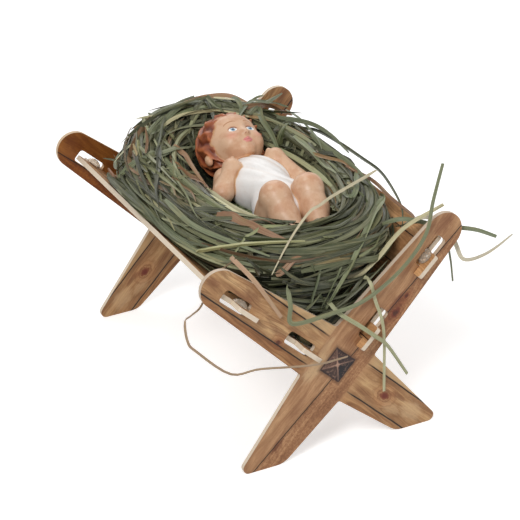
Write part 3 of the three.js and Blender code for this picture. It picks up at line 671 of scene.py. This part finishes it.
def infant_material():
    shader = Shader("painted_casting", Specular_IOR_Level=0.42)
    here = shader.place()
    shift = shader.node("VectorMath", here, tuple(-HEAD), operation="ADD")
    x, y, z = (shift.dot(tuple(TURN[:, i])) for i in range(3))
    mottle = here.noise(0.16, 3, 0.55)
    bare = 1.0 + shader.attribute("cloth", 2) * -0.85
    colour = shader.attribute("paint").mix(mottle.band(0.42, 0.68) * 0.34 * bare, (206, 146, 98), "MULTIPLY")
    stroke = here.stretch(1.3, 0.25, 1.3).noise(1.0, 3, 0.6, 4)
    colour = colour.layers((stroke, 0.5, 0.75, 0.12, (200, 170, 146), "MULTIPLY"))
    front = z.band(8.0, 9.5)

    def oval(at_x, at_y, half_x, half_y, lean=0.0, soft=0.12):
        dx = x - at_x
        dy = y - at_y + dx * -lean
        return ((dx / half_x) ** 2 + (dy / half_y) ** 2).band(1 + soft, 1 - soft) * front

    for side in (-1, 1):
        lid = oval(side * 5.6, -0.4, 2.95, 1.95, -side * 0.08, 0.2)
        white = oval(side * 5.55, -0.85, 2.5, 1.35, -side * 0.06)
        lash = oval(side * 5.55, -0.45, 2.75, 1.55, -side * 0.06) * (1.0 - white) * y.band(-0.6, 0.1)
        brow = oval(side * 5.9, 3.3, 3.5, 1.5, -side * 0.1) * (1.0 - oval(side * 5.9, 2.75, 3.7, 1.4, -side * 0.1))
        for share, over in (
            (lid * 0.4, (186, 122, 90)),
            (white, (244, 242, 238)),
            (oval(side * 5.5, -0.7, 1.3, 1.3) * white, (112, 150, 176)),
            (oval(side * 5.5, -0.7, 0.62, 0.62) * white, (36, 44, 56)),
            # A small white dot in each eye: a painted highlight.
            (oval(side * 5.5 - 0.45, -0.2, 0.3, 0.3) * white, (250, 250, 250)),
            (lash * 0.85, (128, 78, 52)),
            (brow * 0.75, (168, 108, 66)),
        ):
            colour = colour.mix(share, over)
    lips = oval(-1.25, -9.0, 1.75, 0.75, 0.22, 0.25).math("MAXIMUM", oval(1.25, -9.0, 1.75, 0.75, -0.22, 0.25))
    lips = lips.math("MAXIMUM", oval(0, -10.2, 2.1, 0.85, 0.0, 0.25))
    colour = colour.mix(lips * 0.85, (214, 124, 124)).mix(oval(0, -9.55, 2.5, 0.2) * 0.7, (164, 84, 84))
    for side in (-1, 1):
        colour = colour.mix(oval(side * 0.85, -6.35, 0.42, 0.28) * 0.7, (168, 100, 76))
    fine = here.noise(1.1, 4, 0.6, 2)
    shader.look(Base_Color=colour, Roughness=fine.band(0.3, 0.7, 0.36, 0.5))
    shader.bump(fine, 0.12, 0.0004)
    return shader.material


def make_infant():
    low, high, cell = (-23, -72, 91.5), (38, 60, 139), 0.5
    points, faces = surface(low, high, cell)
    colour, cloth = infant_paint(points)
    made = build_mesh("painted_infant", points, faces, {"paint": colour, "cloth": cloth})
    made.data.materials.append(infant_material())
    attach(made, "infant")
    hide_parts("infant_figurine")
    return points


infant_points = make_infant()

bpy.context.scene.view_settings.view_transform = "Standard"
camera()
stage()
dress_boards()

# Hay nest

TROUGH = 196.7 / 2 - 2.5
SAGE = [(92, 100, 70), (126, 132, 102), (66, 74, 50), (158, 164, 136), (54, 60, 40), (110, 120, 90)]
PALE = [(206, 202, 170), (186, 186, 148), (196, 196, 166)]
DRY = [(134, 136, 100), (158, 130, 96), (138, 100, 74), (168, 130, 102), (124, 110, 76)]
PANEL_LIFT, HALF_BOARD, AIR = 2.4, 1.25, 0.4


def trough_width(height):
    """Half of the clear width between the panels' inner faces, at a height above the crossing."""
    inner = PANEL_LIFT - HALF_BOARD - AIR
    return (height + inner * math.cos(ARM_ANGLE)) / math.tan(ARM_ANGLE) + inner * math.sin(ARM_ANGLE)


def nest_point(share, angle):
    """The nest's outer form: share 0 is the underside, 0.25 the rim, 0.55 the crest and 1 the hollow."""
    below, bottom, rim_height = share < 0.25, 16.9, 53.9
    wall = np.clip(share / 0.25, 0, 1)
    crown = np.clip((share - 0.25) / 0.75, 0, 1)
    bulge = np.sin(wall * math.pi / 2)
    climb = np.minimum(1, crown / 0.42)
    inward = np.maximum(0, (crown - 0.42) / 0.58)
    rise = np.sin(climb * math.pi / 2)
    fall = (1 - np.cos(inward * math.pi)) / 2
    near = smooth(-np.cos(angle) * 0.75 - np.sin(angle) * 0.65, -0.2, 0.7)
    height = np.where(below, bottom + 37.0 * wall, rim_height + 14.0 * rise - (16.4 - 8.5 * near) * fall)
    rim_width, curl = trough_width(rim_height), climb**1.6
    wide = np.where(below, trough_width(height), rim_width + (46 - rim_width) * curl - 24 * inward)
    base, rim, crest = TROUGH - 29.8, TROUGH - 2.3, TROUGH - 19.8
    long = np.where(below, base + (rim - base) * bulge, rim + (crest - rim) * curl + (47 - crest) * inward)
    square = np.where(below, 0.72, 0.72 + 0.28 * np.maximum(climb / 2, inward))
    c, s = np.cos(angle), np.sin(angle)
    far = np.maximum(0, s) ** 2 * 11 * np.where(below, 0, rise * (1 - fall))
    x = wide * np.sign(c) * np.abs(c) ** square + 7 * inward
    y = long * np.sign(s) * np.abs(s) ** square
    return np.stack([x, y, height + far + CROSSING], -1)


def nest_normal(share, angle):
    step = 0.01
    around = nest_point(share, angle + step) - nest_point(share, angle - step)
    up = nest_point(np.minimum(share + step, 1), angle) - nest_point(share - step, angle)
    return unit(np.cross(around, up))


def sweep(count, steps=25):
    return np.linspace(0, 1, steps)[None, :].repeat(count, 0)


def column(values):
    return np.asarray(values)[:, None]


def unit(vectors, least=1e-9):
    return vectors / np.maximum(np.linalg.norm(vectors, axis=-1, keepdims=True), least)


def even(low, high, count):
    return column(rng.uniform(low, high, count))


def bell(size, count):
    return column(rng.normal(0, size, count))


def depth_shade(height):
    """Painted shade: blades are darker the deeper they lie in the nest."""
    return 0.07 + 1.13 * smooth(height, -1.5, 2.1)


def winding(count, low, high, span, lift, climb, wobble, angles=(0, 2 * math.pi), chord=0.0):
    """Blades wound round the nest: centre lines and the way their broad faces look."""
    t = sweep(count)
    start = even(*angles, count)
    turn = column(rng.uniform(*span, count) * rng.choice([-1, 1], count))
    share = even(low, high, count) + bell(climb, count) * (t - 0.5)
    bow = bell(wobble, count) * np.sin(math.pi * t)
    wave = bell(wobble / 3, count) * np.sin(even(1, 3, count) * math.pi * t)
    share = np.clip(share + bow + wave, 0.04, 0.985)
    angle = start + turn * t
    normal = nest_normal(share, angle)
    height = even(*lift, count) + bell(0.9, count) * np.sin(math.pi * t * even(0.8, 1.8, count))
    line = nest_point(share, angle)
    straight = line[:, :1] + (line[:, -1:] - line[:, :1]) * t[..., None]
    return line + chord * (straight - line) + normal * height[..., None], normal, depth_shade(height)


def strays(count, low, high, reach, tilt, angles=(0, 2 * math.pi)):
    """Blades that follow the nest and leave it in a free curve."""
    t = sweep(count)
    angle = rng.uniform(*angles, count)
    share = rng.uniform(low, high, count)
    start, normal = nest_point(share, angle), nest_normal(share, angle)
    tangent = unit(np.cross(normal, (0, 0, 1.0)) * column(rng.choice([-1, 1], count)))
    way = tangent + normal * even(*tilt, count) + rng.normal(0, 0.12, (count, 3))
    way = unit(way)
    long = even(*reach, count)
    inward = -start * (1, 0.6, 0) / 80
    bend = inward * even(0.2, 1.3, count) + rng.normal(0, 0.2, (count, 3)) - np.array([0, 0, 0.3])
    ahead = (t * long)[..., None]
    drop = bend[:, None] * ahead**2 / (2 * long[..., None])
    line = start[:, None] - normal[:, None] * 3 + way[:, None] * ahead + drop
    face = unit(np.cross(way, rng.normal(0, 1, (count, 3))))
    return line, face[:, None], np.ones(t.shape)


def inward_blades(count, angles):
    """Blades that run from the crest down into the hollow."""
    t = sweep(count)
    angle = even(*angles, count) + bell(0.3, count) * t
    share = even(0.42, 0.6, count) + even(0.25, 0.42, count) * t
    normal = nest_normal(share, angle)
    lift = even(-0.4, 2.6, count) + bell(0.8, count) * np.sin(math.pi * t)
    return nest_point(share, angle) + normal * lift[..., None], normal, depth_shade(lift - 0.4)


def edge_blades(count):
    """Hay that lies along the left panel's upper edge."""
    t = sweep(count)
    y = even(15, 60, count) - even(30, 60, count) * t
    x = -58.6 + bell(1.5, count) + bell(3, count) * (t - 0.5) - 1.5 * np.sin(math.pi * t)
    lift = even(-2.5, 3.0, count) + 1.5 * np.sin(math.pi * t)
    return np.stack([x, y, 106.8 + lift], -1), (-0.5, 0.0, 0.87), depth_shade(lift)


def tuft(count):
    """Loose hay between the nest's near end and the front board, with painted shade: the lower a blade hangs, the
    darker it is.
    """
    t = 2 * sweep(count) - 1
    low = even(65, 98, count)
    reach = even(12, 34, count)
    x = even(-22, 8, count) + reach * t
    y = even(-95, -82, count) + bell(3, count) * t
    z = low + even(-0.35, 0.6, count) * reach * t + even(0.1, 0.6, count) * reach * t**2
    return np.stack([x, y, z], -1), (0.0, -0.8, 0.6), 0.3 + 0.6 * smooth(z, 70, 112)


class Plan:
    """The infant seen from above, as a distance that is negative within its outline."""

    def __init__(self, points):
        self.low = np.array([-40.0, -90.0])
        shape = (100, 170)
        cover = np.zeros(shape, bool)
        at = np.floor(points[:, :2] - self.low).astype(int)
        cover[at[:, 0], at[:, 1]] = True
        edge = cover.copy()
        edge[1:-1, 1:-1] &= ~(cover[:-2, 1:-1] & cover[2:, 1:-1] & cover[1:-1, :-2] & cover[1:-1, 2:])
        rim = np.argwhere(edge) + 0.5
        grid = np.stack(np.meshgrid(np.arange(shape[0]), np.arange(shape[1]), indexing="ij"), -1) + 0.5
        away = np.full(shape, 1e9)
        for spot in rim:
            away = np.minimum(away, ((grid - spot) ** 2).sum(-1))
        self.field = np.where(cover, -1, 1) * np.sqrt(away)
        self.slope = np.stack(np.gradient(self.field), -1)
        self.shape = np.array(shape)

    def at(self, points):
        place = points[..., :2] - self.low - 0.5
        inside = (place >= 0).all(-1) & (place < self.shape - 1.01).all(-1)
        place = np.clip(place, 0, self.shape - 1.01)
        low = np.floor(place).astype(int)
        part = place - low
        value, slope = 0, 0
        for dx in (0, 1):
            for dy in (0, 1):
                weight = np.abs(1 - dx - part[..., 0]) * np.abs(1 - dy - part[..., 1])
                cell = (low[..., 0] + dx, low[..., 1] + dy)
                value = value + weight * self.field[cell]
                slope = slope + weight[..., None] * self.slope[cell]
        return np.where(inside, value, 50.0), slope


def settle(lines, widths, plan):
    """Pushes blades off the infant's way up and into the trough; drops those that lie across it."""
    deepest, clear, beside, panel_height = -4.5, 0.5, 0.3, 60.0
    distance, _ = plan.at(lines)
    fine = distance.min(1) > deepest
    lines, widths = lines[fine].copy(), widths[fine]
    for _ in range(5):
        distance, slope = plan.at(lines)
        gap = column(widths) / 2 + clear - distance
        lines[..., :2] += np.maximum(gap, 0)[..., None] * unit(slope, 1e-6)
        lines[:, 1:-1] = 0.5 * lines[:, 1:-1] + 0.25 * (lines[:, :-2] + lines[:, 2:])
        height = lines[..., 2] - CROSSING
        limit = trough_width(height) - column(widths) / 2 - beside
        over = (height < panel_height) & (np.abs(lines[..., 0]) > limit)
        lines[..., 0] = np.where(over, np.sign(lines[..., 0]) * limit, lines[..., 0])
        end = TROUGH - clear - column(widths) / 2
        lines[..., 1] = np.clip(lines[..., 1], -end, end)
    distance, _ = plan.at(lines)
    kept = (distance - column(widths) / 2).min(1) > 0
    fine[fine] = kept
    return lines[kept], widths[kept], fine


def spline(route, steps=41):
    """A smooth line through a route's points."""
    route = np.asarray(route, float)
    padded = np.vstack([2 * route[0] - route[1], route, 2 * route[-1] - route[-2]])
    t = np.linspace(0, len(route) - 1 - 1e-9, steps)
    i = t.astype(int)
    f = (t - i)[:, None]
    a, b, c, d = (padded[i + k] for k in range(4))
    return 0.5 * (2 * b + (c - a) * f + (2 * a - 5 * b + 4 * c - d) * f**2 + (3 * b - a - 3 * c + d) * f**3)


def blades(name, lines, faces, widths, tints, crease=0.56, thick=0.0, narrow=0.9):
    """One mesh of many blades along their centre lines, narrower towards the tip."""
    count, steps, _ = lines.shape
    tangent = unit(np.gradient(lines, axis=1))
    side = unit(np.cross(tangent, faces))
    over = np.cross(side, tangent)
    t = sweep(count, steps)
    tip = even(1.5, 5, count)
    shape = (1 - narrow * t**tip) * (0.55 + 0.45 * np.minimum(1, t / 0.12))
    half = (column(widths) / 2 * shape)[..., None]
    fold = bell(crease, count)[..., None]
    rows = [lines - side * half, lines + over * half * fold, lines + side * half]
    if thick:
        rows = [lines - side * half, lines + over * thick / 2, lines + side * half, lines - over * thick / 2]
    columns = len(rows)
    points = np.stack(rows, 2).reshape(-1, 3)
    base = np.arange(count)[:, None, None] * steps * columns
    row = np.arange(steps - 1)[None, :, None] * columns
    ring = columns if thick else columns - 1
    at = np.arange(ring)[None, None, :]
    after = (at + 1) % columns
    first = base + row
    quads = np.stack([first + at, first + after, first + columns + after, first + columns + at], -1).reshape(-1, 4)
    if thick:
        caps = np.arange(count)[:, None] * steps * columns + np.array([[3, 2, 1, 0]])
        ends = np.arange(count)[:, None] * steps * columns + (steps - 1) * columns + np.array([[0, 1, 2, 3]])
        quads = np.concatenate([quads, caps, ends])
    long = np.cumsum(np.concatenate([np.zeros((count, 1)), np.linalg.norm(np.diff(lines, axis=1), axis=-1)], 1), 1)
    spread = np.array([-1, 0, 1, 0])[:columns]
    grid = (count, steps, columns)
    across = spread * column(widths)[..., None] / 2
    own = np.arange(count)[:, None, None] * 1.7
    vein = np.stack([np.broadcast_to(v, grid) for v in (across, long[..., None], own)], -1)
    tint = np.broadcast_to(tints[:, :, None], (*grid, 3))
    made = build_mesh(name, points, quads, {"tint": tint.reshape(-1, 3), "vein": vein.reshape(-1, 3)})
    made.data.materials.append(hay_look)
    made.data.shade_flat()
    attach(made, "nest")
    return made


def hay_material():
    shader = Shader("hay", Specular_IOR_Level=0.4)
    vein, tint = shader.attribute("vein", 1), shader.attribute("tint")
    rib = vein.stretch(3.2, 0.05, 1.0).noise(1.0, 3, 0.6)
    blotch = vein.stretch(0.3, 0.07, 1.0).noise(1.0, 3, 0.6, 2)
    colour = tint.layers((rib, 0.42, 0.7, 0.6, tint.mix(0.45, (214, 216, 190))))
    colour = colour.layers((rib, 0.5, 0.3, 0.65, colour.mix(0.7, (52, 62, 40))))
    colour = colour.layers((blotch, 0.54, 0.72, 0.3, (176, 164, 120)))
    back = shader.node("NewGeometry", out=6)
    colour = colour.mix(back * 0.2, (186, 194, 168)).mix(1.0, (213, 208, 192), "MULTIPLY")
    shader.look(Base_Color=colour, Roughness=blotch.band(0.35, 0.65, 0.38, 0.6))
    shader.bump(rib, 0.35, 0.0003)
    return shader.material


def bed_material():
    """The dense inside of the nest, seen in the gaps between blades; its near-black colour is painted shade."""
    shader = Shader("hay_bed", Roughness=0.8, Specular_IOR_Level=0.2)
    here = shader.place()
    other = here.stretch(0.7, 0.1, 0.8).noise(1.0, 4, 0.65, 3)
    share = here.stretch(0.12, 0.5, 0.9).noise(1.0, 4, 0.65).math("MAXIMUM", other)
    # Painted shade: the hay between the blades is coloured dark green to near black.
    colour = share.band(0.5, 0.7).between((22, 24, 15), (58, 64, 42))
    x, y, z = (here.dot(axis) for axis in ((1, 0, 0), (0, 1, 0), (0, 0, 1)))
    seat = ((x - X0) / 19) ** 2 + ((y + 6.0) / 60) ** 2
    strand = share.band(0.44, 0.62).between((60, 66, 42), (134, 142, 104))
    colour = colour.layers((other, 0.6, 0.75, 0.4, (92, 78, 50)), (seat, 1.0, 0.75, z.band(107.0, 101.0), strand))
    shader.look(Base_Color=colour)
    shader.bump(share, 0.9, 0.002)
    return shader.material


def pick(count, shares):
    """Random colours out of the sage, dry and pale ones, by their shares."""
    colours, weights = (SAGE, DRY, PALE), np.array(shares)
    chosen = rng.choice(len(shares), count, p=weights / weights.sum())
    made = np.array([linear(*colours[i][rng.integers(len(colours[i]))]) for i in chosen])
    return made * (0.34 + 1.05 * rng.uniform(0, 1, (count, 1)) ** 1.4)


def make_nest():
    core = nodes["hay_nest"]
    bed = add_object("nest_bed", core.data.copy())
    bed.matrix_world = core.matrix_world.copy()
    bed.data.materials.clear()
    bed.data.materials.append(bed_material())
    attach(bed, "nest")
    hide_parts("hay_nest")
    plan = Plan(infant_points)
    inner = (-0.3 * math.pi, 1.15 * math.pi)
    corner = (0.42 * math.pi, 0.95 * math.pi)
    groups = (
        (
            "wound_outer_hay", winding(460, 0.16, 0.6, (0.9, 2.2), (-2.0, 2.4), 0.06, 0.014), (2.0, 4.4), 0.42,
            (89, 8, 3),
        ),
        (
            "wound_inner_hay", winding(290, 0.5, 0.95, (0.7, 1.9), (-2.6, 2.2), 0.07, 0.006, chord=0.12),
            (2.2, 4.4), 0.5, (86, 10, 4),
        ),
        ("falling_hay", inward_blades(130, inner), (2.0, 4.2), 0.45, (86, 10, 4)),
        (
            "crossing_hay", winding(110, 0.25, 0.8, (0.25, 0.9), (2.0, 3.6), 0.22, 0.03, chord=0.5), (1.2, 3.0),
            0.5, (74, 13, 13),
        ),
        ("front_tuft", tuft(80), (1.6, 3.0), 0.4, (92, 6, 2)),
        (
            "airy_hay", winding(60, 0.3, 0.6, (0.35, 0.9), (2, 7), 0.15, 0.02, corner, 0.5), (1.6, 3.2), 0.5,
            (80, 14, 6),
        ),
        ("edge_hay", edge_blades(30), (2.2, 4.2), 0.35, (84, 12, 4)),
        (
            "stray_hay", strays(60, 0.3, 0.6, (20, 46), (-0.1, 0.18), (0.3 * math.pi, 1.15 * math.pi)), (1.6, 2.8),
            0.3, (72, 16, 12),
        ),
    )
    for name, (lines, faces, shade), (thin, broad), jitter, shares in groups:
        count = len(lines)
        widths = rng.uniform(thin, broad, count)
        turned, twist = rng.normal(0, jitter, (count, 1, 3)), rng.normal(0, 0.2, (count, 1, 3))
        faces = faces + turned + twist * sweep(count)[..., None]
        lines, widths, fine = settle(lines, widths, plan)
        # Painted shade: each blade's colour is multiplied by the shade its group gives, darker where it lies deeper
        # or lower.
        tints = pick(len(lines), shares)[:, None] * shade[fine][..., None]
        blades(name, lines, faces[fine], widths, tints)


# Loose blades: width and colour, then the way they face for those that leave the nest, then the route

LEAVING = """
long_bent_blade 2.6 140 150 122, 0 -1 0, -20 -84 97, -25 -95.5 99, -26.5 -101 92, -26 -101.8 81.9, -5 -102 81.9,
14.5 -102 84.3, 35.5 -102 96, 50 -102 112, 55 -101.5 130, 61 -101 149;
right_hanging_blade 2.1 218 220 190, 0 -1 0.3, 12 -82 92, 19.5 -92 92, 20 -98.4 91, 21.5 -100.2 81.9, 26 -100.2 63,
25.5 -100.2 27;
low_hanging_blade 2.3 188 194 164, 0 -1 0.5, -8 -78 84, -2 -92 84, 1 -99.6 79.5, 9 -104 73, 18 -105.2 64.5,
26 -104.2 55.9, 38.5 -101.8 34.5;
right_side_blade 2.5 124 138 114, -0.3 -0.6 0.7, 36 -76 110, 46 -86 115.5, 64 -91.5 109.5, 75.5 -94 106.5,
82 -100 106, 88.4 -107.6 104;
right_drooping_blade 1.8 112 124 104, 0.35 -0.93 0, 46 -78 107.9, 58 -88 111.5, 67.5 -91 102.1, 70.1 -92 90,
71.3 -92.5 76;
pale_blade 2.6 228 222 190, -0.5 -0.4 0.8, 2 -82 92, 13 -90 91, 26.5 -92 99.6, 43 -92 113.5, 66 -92.5 121.5;
left_arm_straw 2.4 220 182 160, 0 -1 0, -44 -70 110, -49 -84 116.4, -47 -95 113.5, -44.5 -99.6 109.5,
-40.5 -100.6 102.5, -31.5 -100.4 86.5;
left_straw_loop 1.4 200 172 152, 0 -1 0, -36 -66 108.1, -49 -78 110.5, -61 -86 110.5, -70.5 -92 100, -79 -99 100,
-86 -107 101.9, -85.5 -107.6 91, -81 -107 84, -63 -105.5 65.5, -47 -105.1 63.5, -24 -105.1 58.5, -12 -105.2 56.8,
-3 -103 55.3, 5 -100.2 53.6;
brown_arching_blade 3.8 184 140 112, 0 -0.6 0.8, -43 58 110, -39 70 118, -25 85 121.5, -8 95 121, 12 106.4 118,
24.5 105.5 119, 36 98.4 119, 46 82 113
"""
LYING = """
2.2 240 232 212, 57.5 -36 120, 48 -43 121.5, 36.9 -50 122.8, 18.9 -61 124.6, 6.8 -70 126, -1.3 -74 126,
-17.9 -85 119.5, -31.4 -91 106;
2.2 206 208 160, -54.6 -51.5 107.5, -48.3 -62.5 113, -31 -77.4 117.8, -10.9 -88.3 118.5;
1.7 176 186 146, -13.2 -70.9 120, -27.5 -68.1 120.2, -44 -71.8 110.4;
3.6 156 168 140, 55.7 -42.2 109, 48 -60 116, 35.3 -74.7 117, 24.7 -85.8 114, 15.4 -94 109.3, 9.4 -94.6 99.7,
2.1 -94.9 89.7, -3.5 -93.5 80;
5.4 178 134 110, -37.5 -40 119, -33.5 -48 120.4, -30.5 -58 120.6, -26 -70 120.4, -18.5 -81.5 117.8;
3.4 160 112 84, -28.8 -90.3 104.8, -24.6 -91.7 107.5, -18 -91.2 111.8, -13 -92.4 110.5;
3.6 186 146 118, -22.9 47.7 119.4, -18.5 44 116.5, -19 36 115, -20.5 22 113.5, -22 6 112.7;
2 186 152 120, 40 4 118.5, 41.5 -10.3 121.5, 46.9 -16.9 120.5, 48 -29.5 119.8;
1.5 196 176 140, -49 41 131, -48.5 37.7 125, -50.6 31.5 117.2, -50 22 113.5;
2.2 104 120 94, 58 93 113.6, 52.1 88 116, 36 70 127, 25 58 129, 14 46 127.5;
2 150 108 84, 47 -22 116, 50.5 -34 118.5, 52.4 -46 117.8, 52.7 -59.6 115.6, 54.3 -69 113.8, 57 -76.2 110.7,
57.5 -78 108.5;
2.7 250 247 242, 48 -80 108, 58 -87 114.5, 66 -92.5 110, 71.9 -94.3 98.6, 75.4 -98 88.6, 86.2 -106 95.6,
93.7 -114.5 107;
3 156 118 92, -24.2 75.5 124.5, -39 61 122.5, -47.6 51.3 118, -51.8 39.3 113.5, -52 28 110;
1.8 170 128 112, -60 53 114.5, -58.5 47.5 109.5, -57 42.8 105, -56 36 103;
1.9 62 72 50, 50 38 115, 56 31 118.5, 58.7 7.5 119, 59.4 -16.5 119.5, 60.6 -34.6 118.5, 57 -55.9 117,
54.1 -70.2 113, 50 -78 107;
3.2 118 130 104, -32.5 55 124.5, -20.2 65.5 128.6, -5.8 73.5 132, 9 77 130.6;
3.4 126 138 110, -58 44 112, -49 40 120.4, -38.4 37 122.4, -26 44 119.6, -20.2 46.6 119;
3.2 112 126 98, 36 62 126, 31 48 125, 30.5 34 120, 29 22 113;
2.8 122 134 106, 27 84 124, 25.5 70 130.4, 24 60 129.4, 21.5 57.5 122.8;
1.2 150 130 96, -47.6 10 119.9, -45.2 -1.1 121.5, -47.3 -12.7 119.9, -45.5 -27.6 120.2;
1.3 146 112 84, -38.9 12.9 120.4, -40 8 119.8, -37.9 -8.1 120.2, -41.6 -23.9 121.4;
1.3 174 130 98, -30 30 112, -24 26 112.5, -21 16 113, -24 4 112;
1.8 150 102 72, -31 24 112, -25.5 20 113, -22 10 113, -22.5 0 112;
3.4 120 130 106, 26 54 126.4, 36.3 64 124.2, 47.2 76 120.6, 57.4 86 118, 64.5 91.5 117.2;
3 104 116 90, 22.9 61.5 128.6, 32.2 65.7 127, 46 74 122, 59.3 88 113, 67.6 90 108.5;
3.6 150 108 84, 25.2 61.2 128.2, 36 62 126.5, 50 75 118, 63.6 88 106.5, 70 90 103;
3 118 128 104, 11.1 78 132.4, 11.7 69.2 130.6, 14.5 62.4 127.4;
3.2 120 134 108, 52 60 121, 52 44 121.8, 50 28 122.2, 47.9 12.6 121.9, 44.6 1.6 121;
2.8 100 112 88, 40 48 124, 52 30 124, 56 12 122.5, 57 -6 119;
2.6 150 160 136, -41.8 39.2 120.7, -30.8 41.2 122.1, -19.5 47.1 119, -8.5 55 114.6;
1.2 172 176 158, -48.9 38.4 117, -43.6 32 122.2, -31.6 42.5 121, -22.5 48.3 120.4;
1.6 120 132 106, 16 -90 108, 12.8 -94.8 103.9, 8.4 -94.1 96.3, 2.9 -94.9 90.5, -2.9 -94.2 82.2;
1.8 92 104 80, -10.6 -94.5 108.2, -6.6 -92 91.4, -2.6 -93.4 80;
1.3 134 146 120, 9 -90 106, 4.7 -94.8 101, -1.4 -95 90.3, -5.9 -93.2 80.3, -4.8 -93 75.2, -1.8 -92.8 75.5,
-0.8 -94.5 81.8;
1.6 100 112 88, -4 -92 108, -7.8 -94.9 98.7, -10.6 -94.3 90, -12.4 -93.9 82.4;
3.4 122 134 108, -58.9 -8 107.4, -57 -34 108.5, -52 -56 107.5, -42 -76 106, -30 -88 104;
3 86 98 74, -59.5 30 108, -60 8 108, -58.6 -28 107.5, -50 -59 105;
3 132 144 118, -53.3 -10.1 119.9, -51.6 -40.5 117.8, -42 -65.7 116.5, -29.5 -85.7 113.6;
1.3 192 190 152, -55.7 11.8 114.4, -55.9 -3.5 114.9, -56.4 -19.1 114.6, -57.2 -30.7 111.2;
3 144 156 130, 48 22 121.5, 47.9 0.9 120.5, 50.1 -20.4 120, 48.7 -50 118.1;
3 126 140 114, 50 -28 117, 36.1 -53.8 121.6, 31 -56 117, 30 -47 109;
3.2 150 162 134, 40.2 26.8 120.7, 40.6 8.2 119.4, 38.8 -11.8 116.9, 38.4 -26.6 117;
1.8 120 132 108, -19.6 90.7 124, -17.7 78 124, -10.6 77.5 125, -2.4 76.4 126
"""


def drape(lines):
    """Raises loose blades on to the hay below them, apart from those that hang at the front."""
    above, reach, clear, front = 9, 18, 0.9, -84
    points, polygons = [], []
    for name in ("nest_bed", "wound_outer_hay", "wound_inner_hay", "falling_hay", "crossing_hay", "edge_hay"):
        mesh = bpy.data.objects[name].data
        polygons += [tuple(len(points) + i for i in face.vertices) for face in mesh.polygons]
        points += [tuple(v.co) for v in mesh.vertices]
    tree = BVHTree.FromPolygons(points, polygons)
    for line in lines:
        for point in line:
            spot = tree.ray_cast(Vector((*point[:2], point[2] + above)) * MM, Vector((0, 0, -1)), reach * MM)[0]
            if spot and point[1] > front:
                point[2] = max(point[2], spot.z / MM + clear)
        for _ in range(3):
            line[1:-1, 2] = np.maximum(line[1:-1, 2], 0.5 * (line[:-2, 2] + line[2:, 2]))
            line[1:-1, 2] = 0.4 * line[1:-1, 2] + 0.3 * (line[:-2, 2] + line[2:, 2])


def numbers(row):
    return [[float(v) for v in group.split()] for group in row.split(",")]


def make_loose_blades():
    for row in LEAVING.split(";"):
        name, row = row.split(None, 1)
        (width, *colour), facing, *route = numbers(row)
        line = spline(route, 61)[None]
        tint = linear(*colour)[None, None]
        leaf = blades(name + "_leaf", line, facing, np.array([width]), tint, 0.15, 0.4, 0.25)
        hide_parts(name)
    rows = [numbers(row) for row in LYING.split(";")]
    lines = np.stack([spline(route) for _, *route in rows])
    drape(lines)
    facing = rng.normal(0, 0.25, (len(lines), 1, 3)) + (-0.35, -0.7, 0.7)
    widths, colours = np.array([row[0][0] for row in rows]), np.array([[linear(*row[0][1:])] for row in rows])
    blades("lying_blades", lines, facing, widths, colours, 0.45, 0.0, 0.72)


hay_look = hay_material()
make_nest()
make_loose_blades()
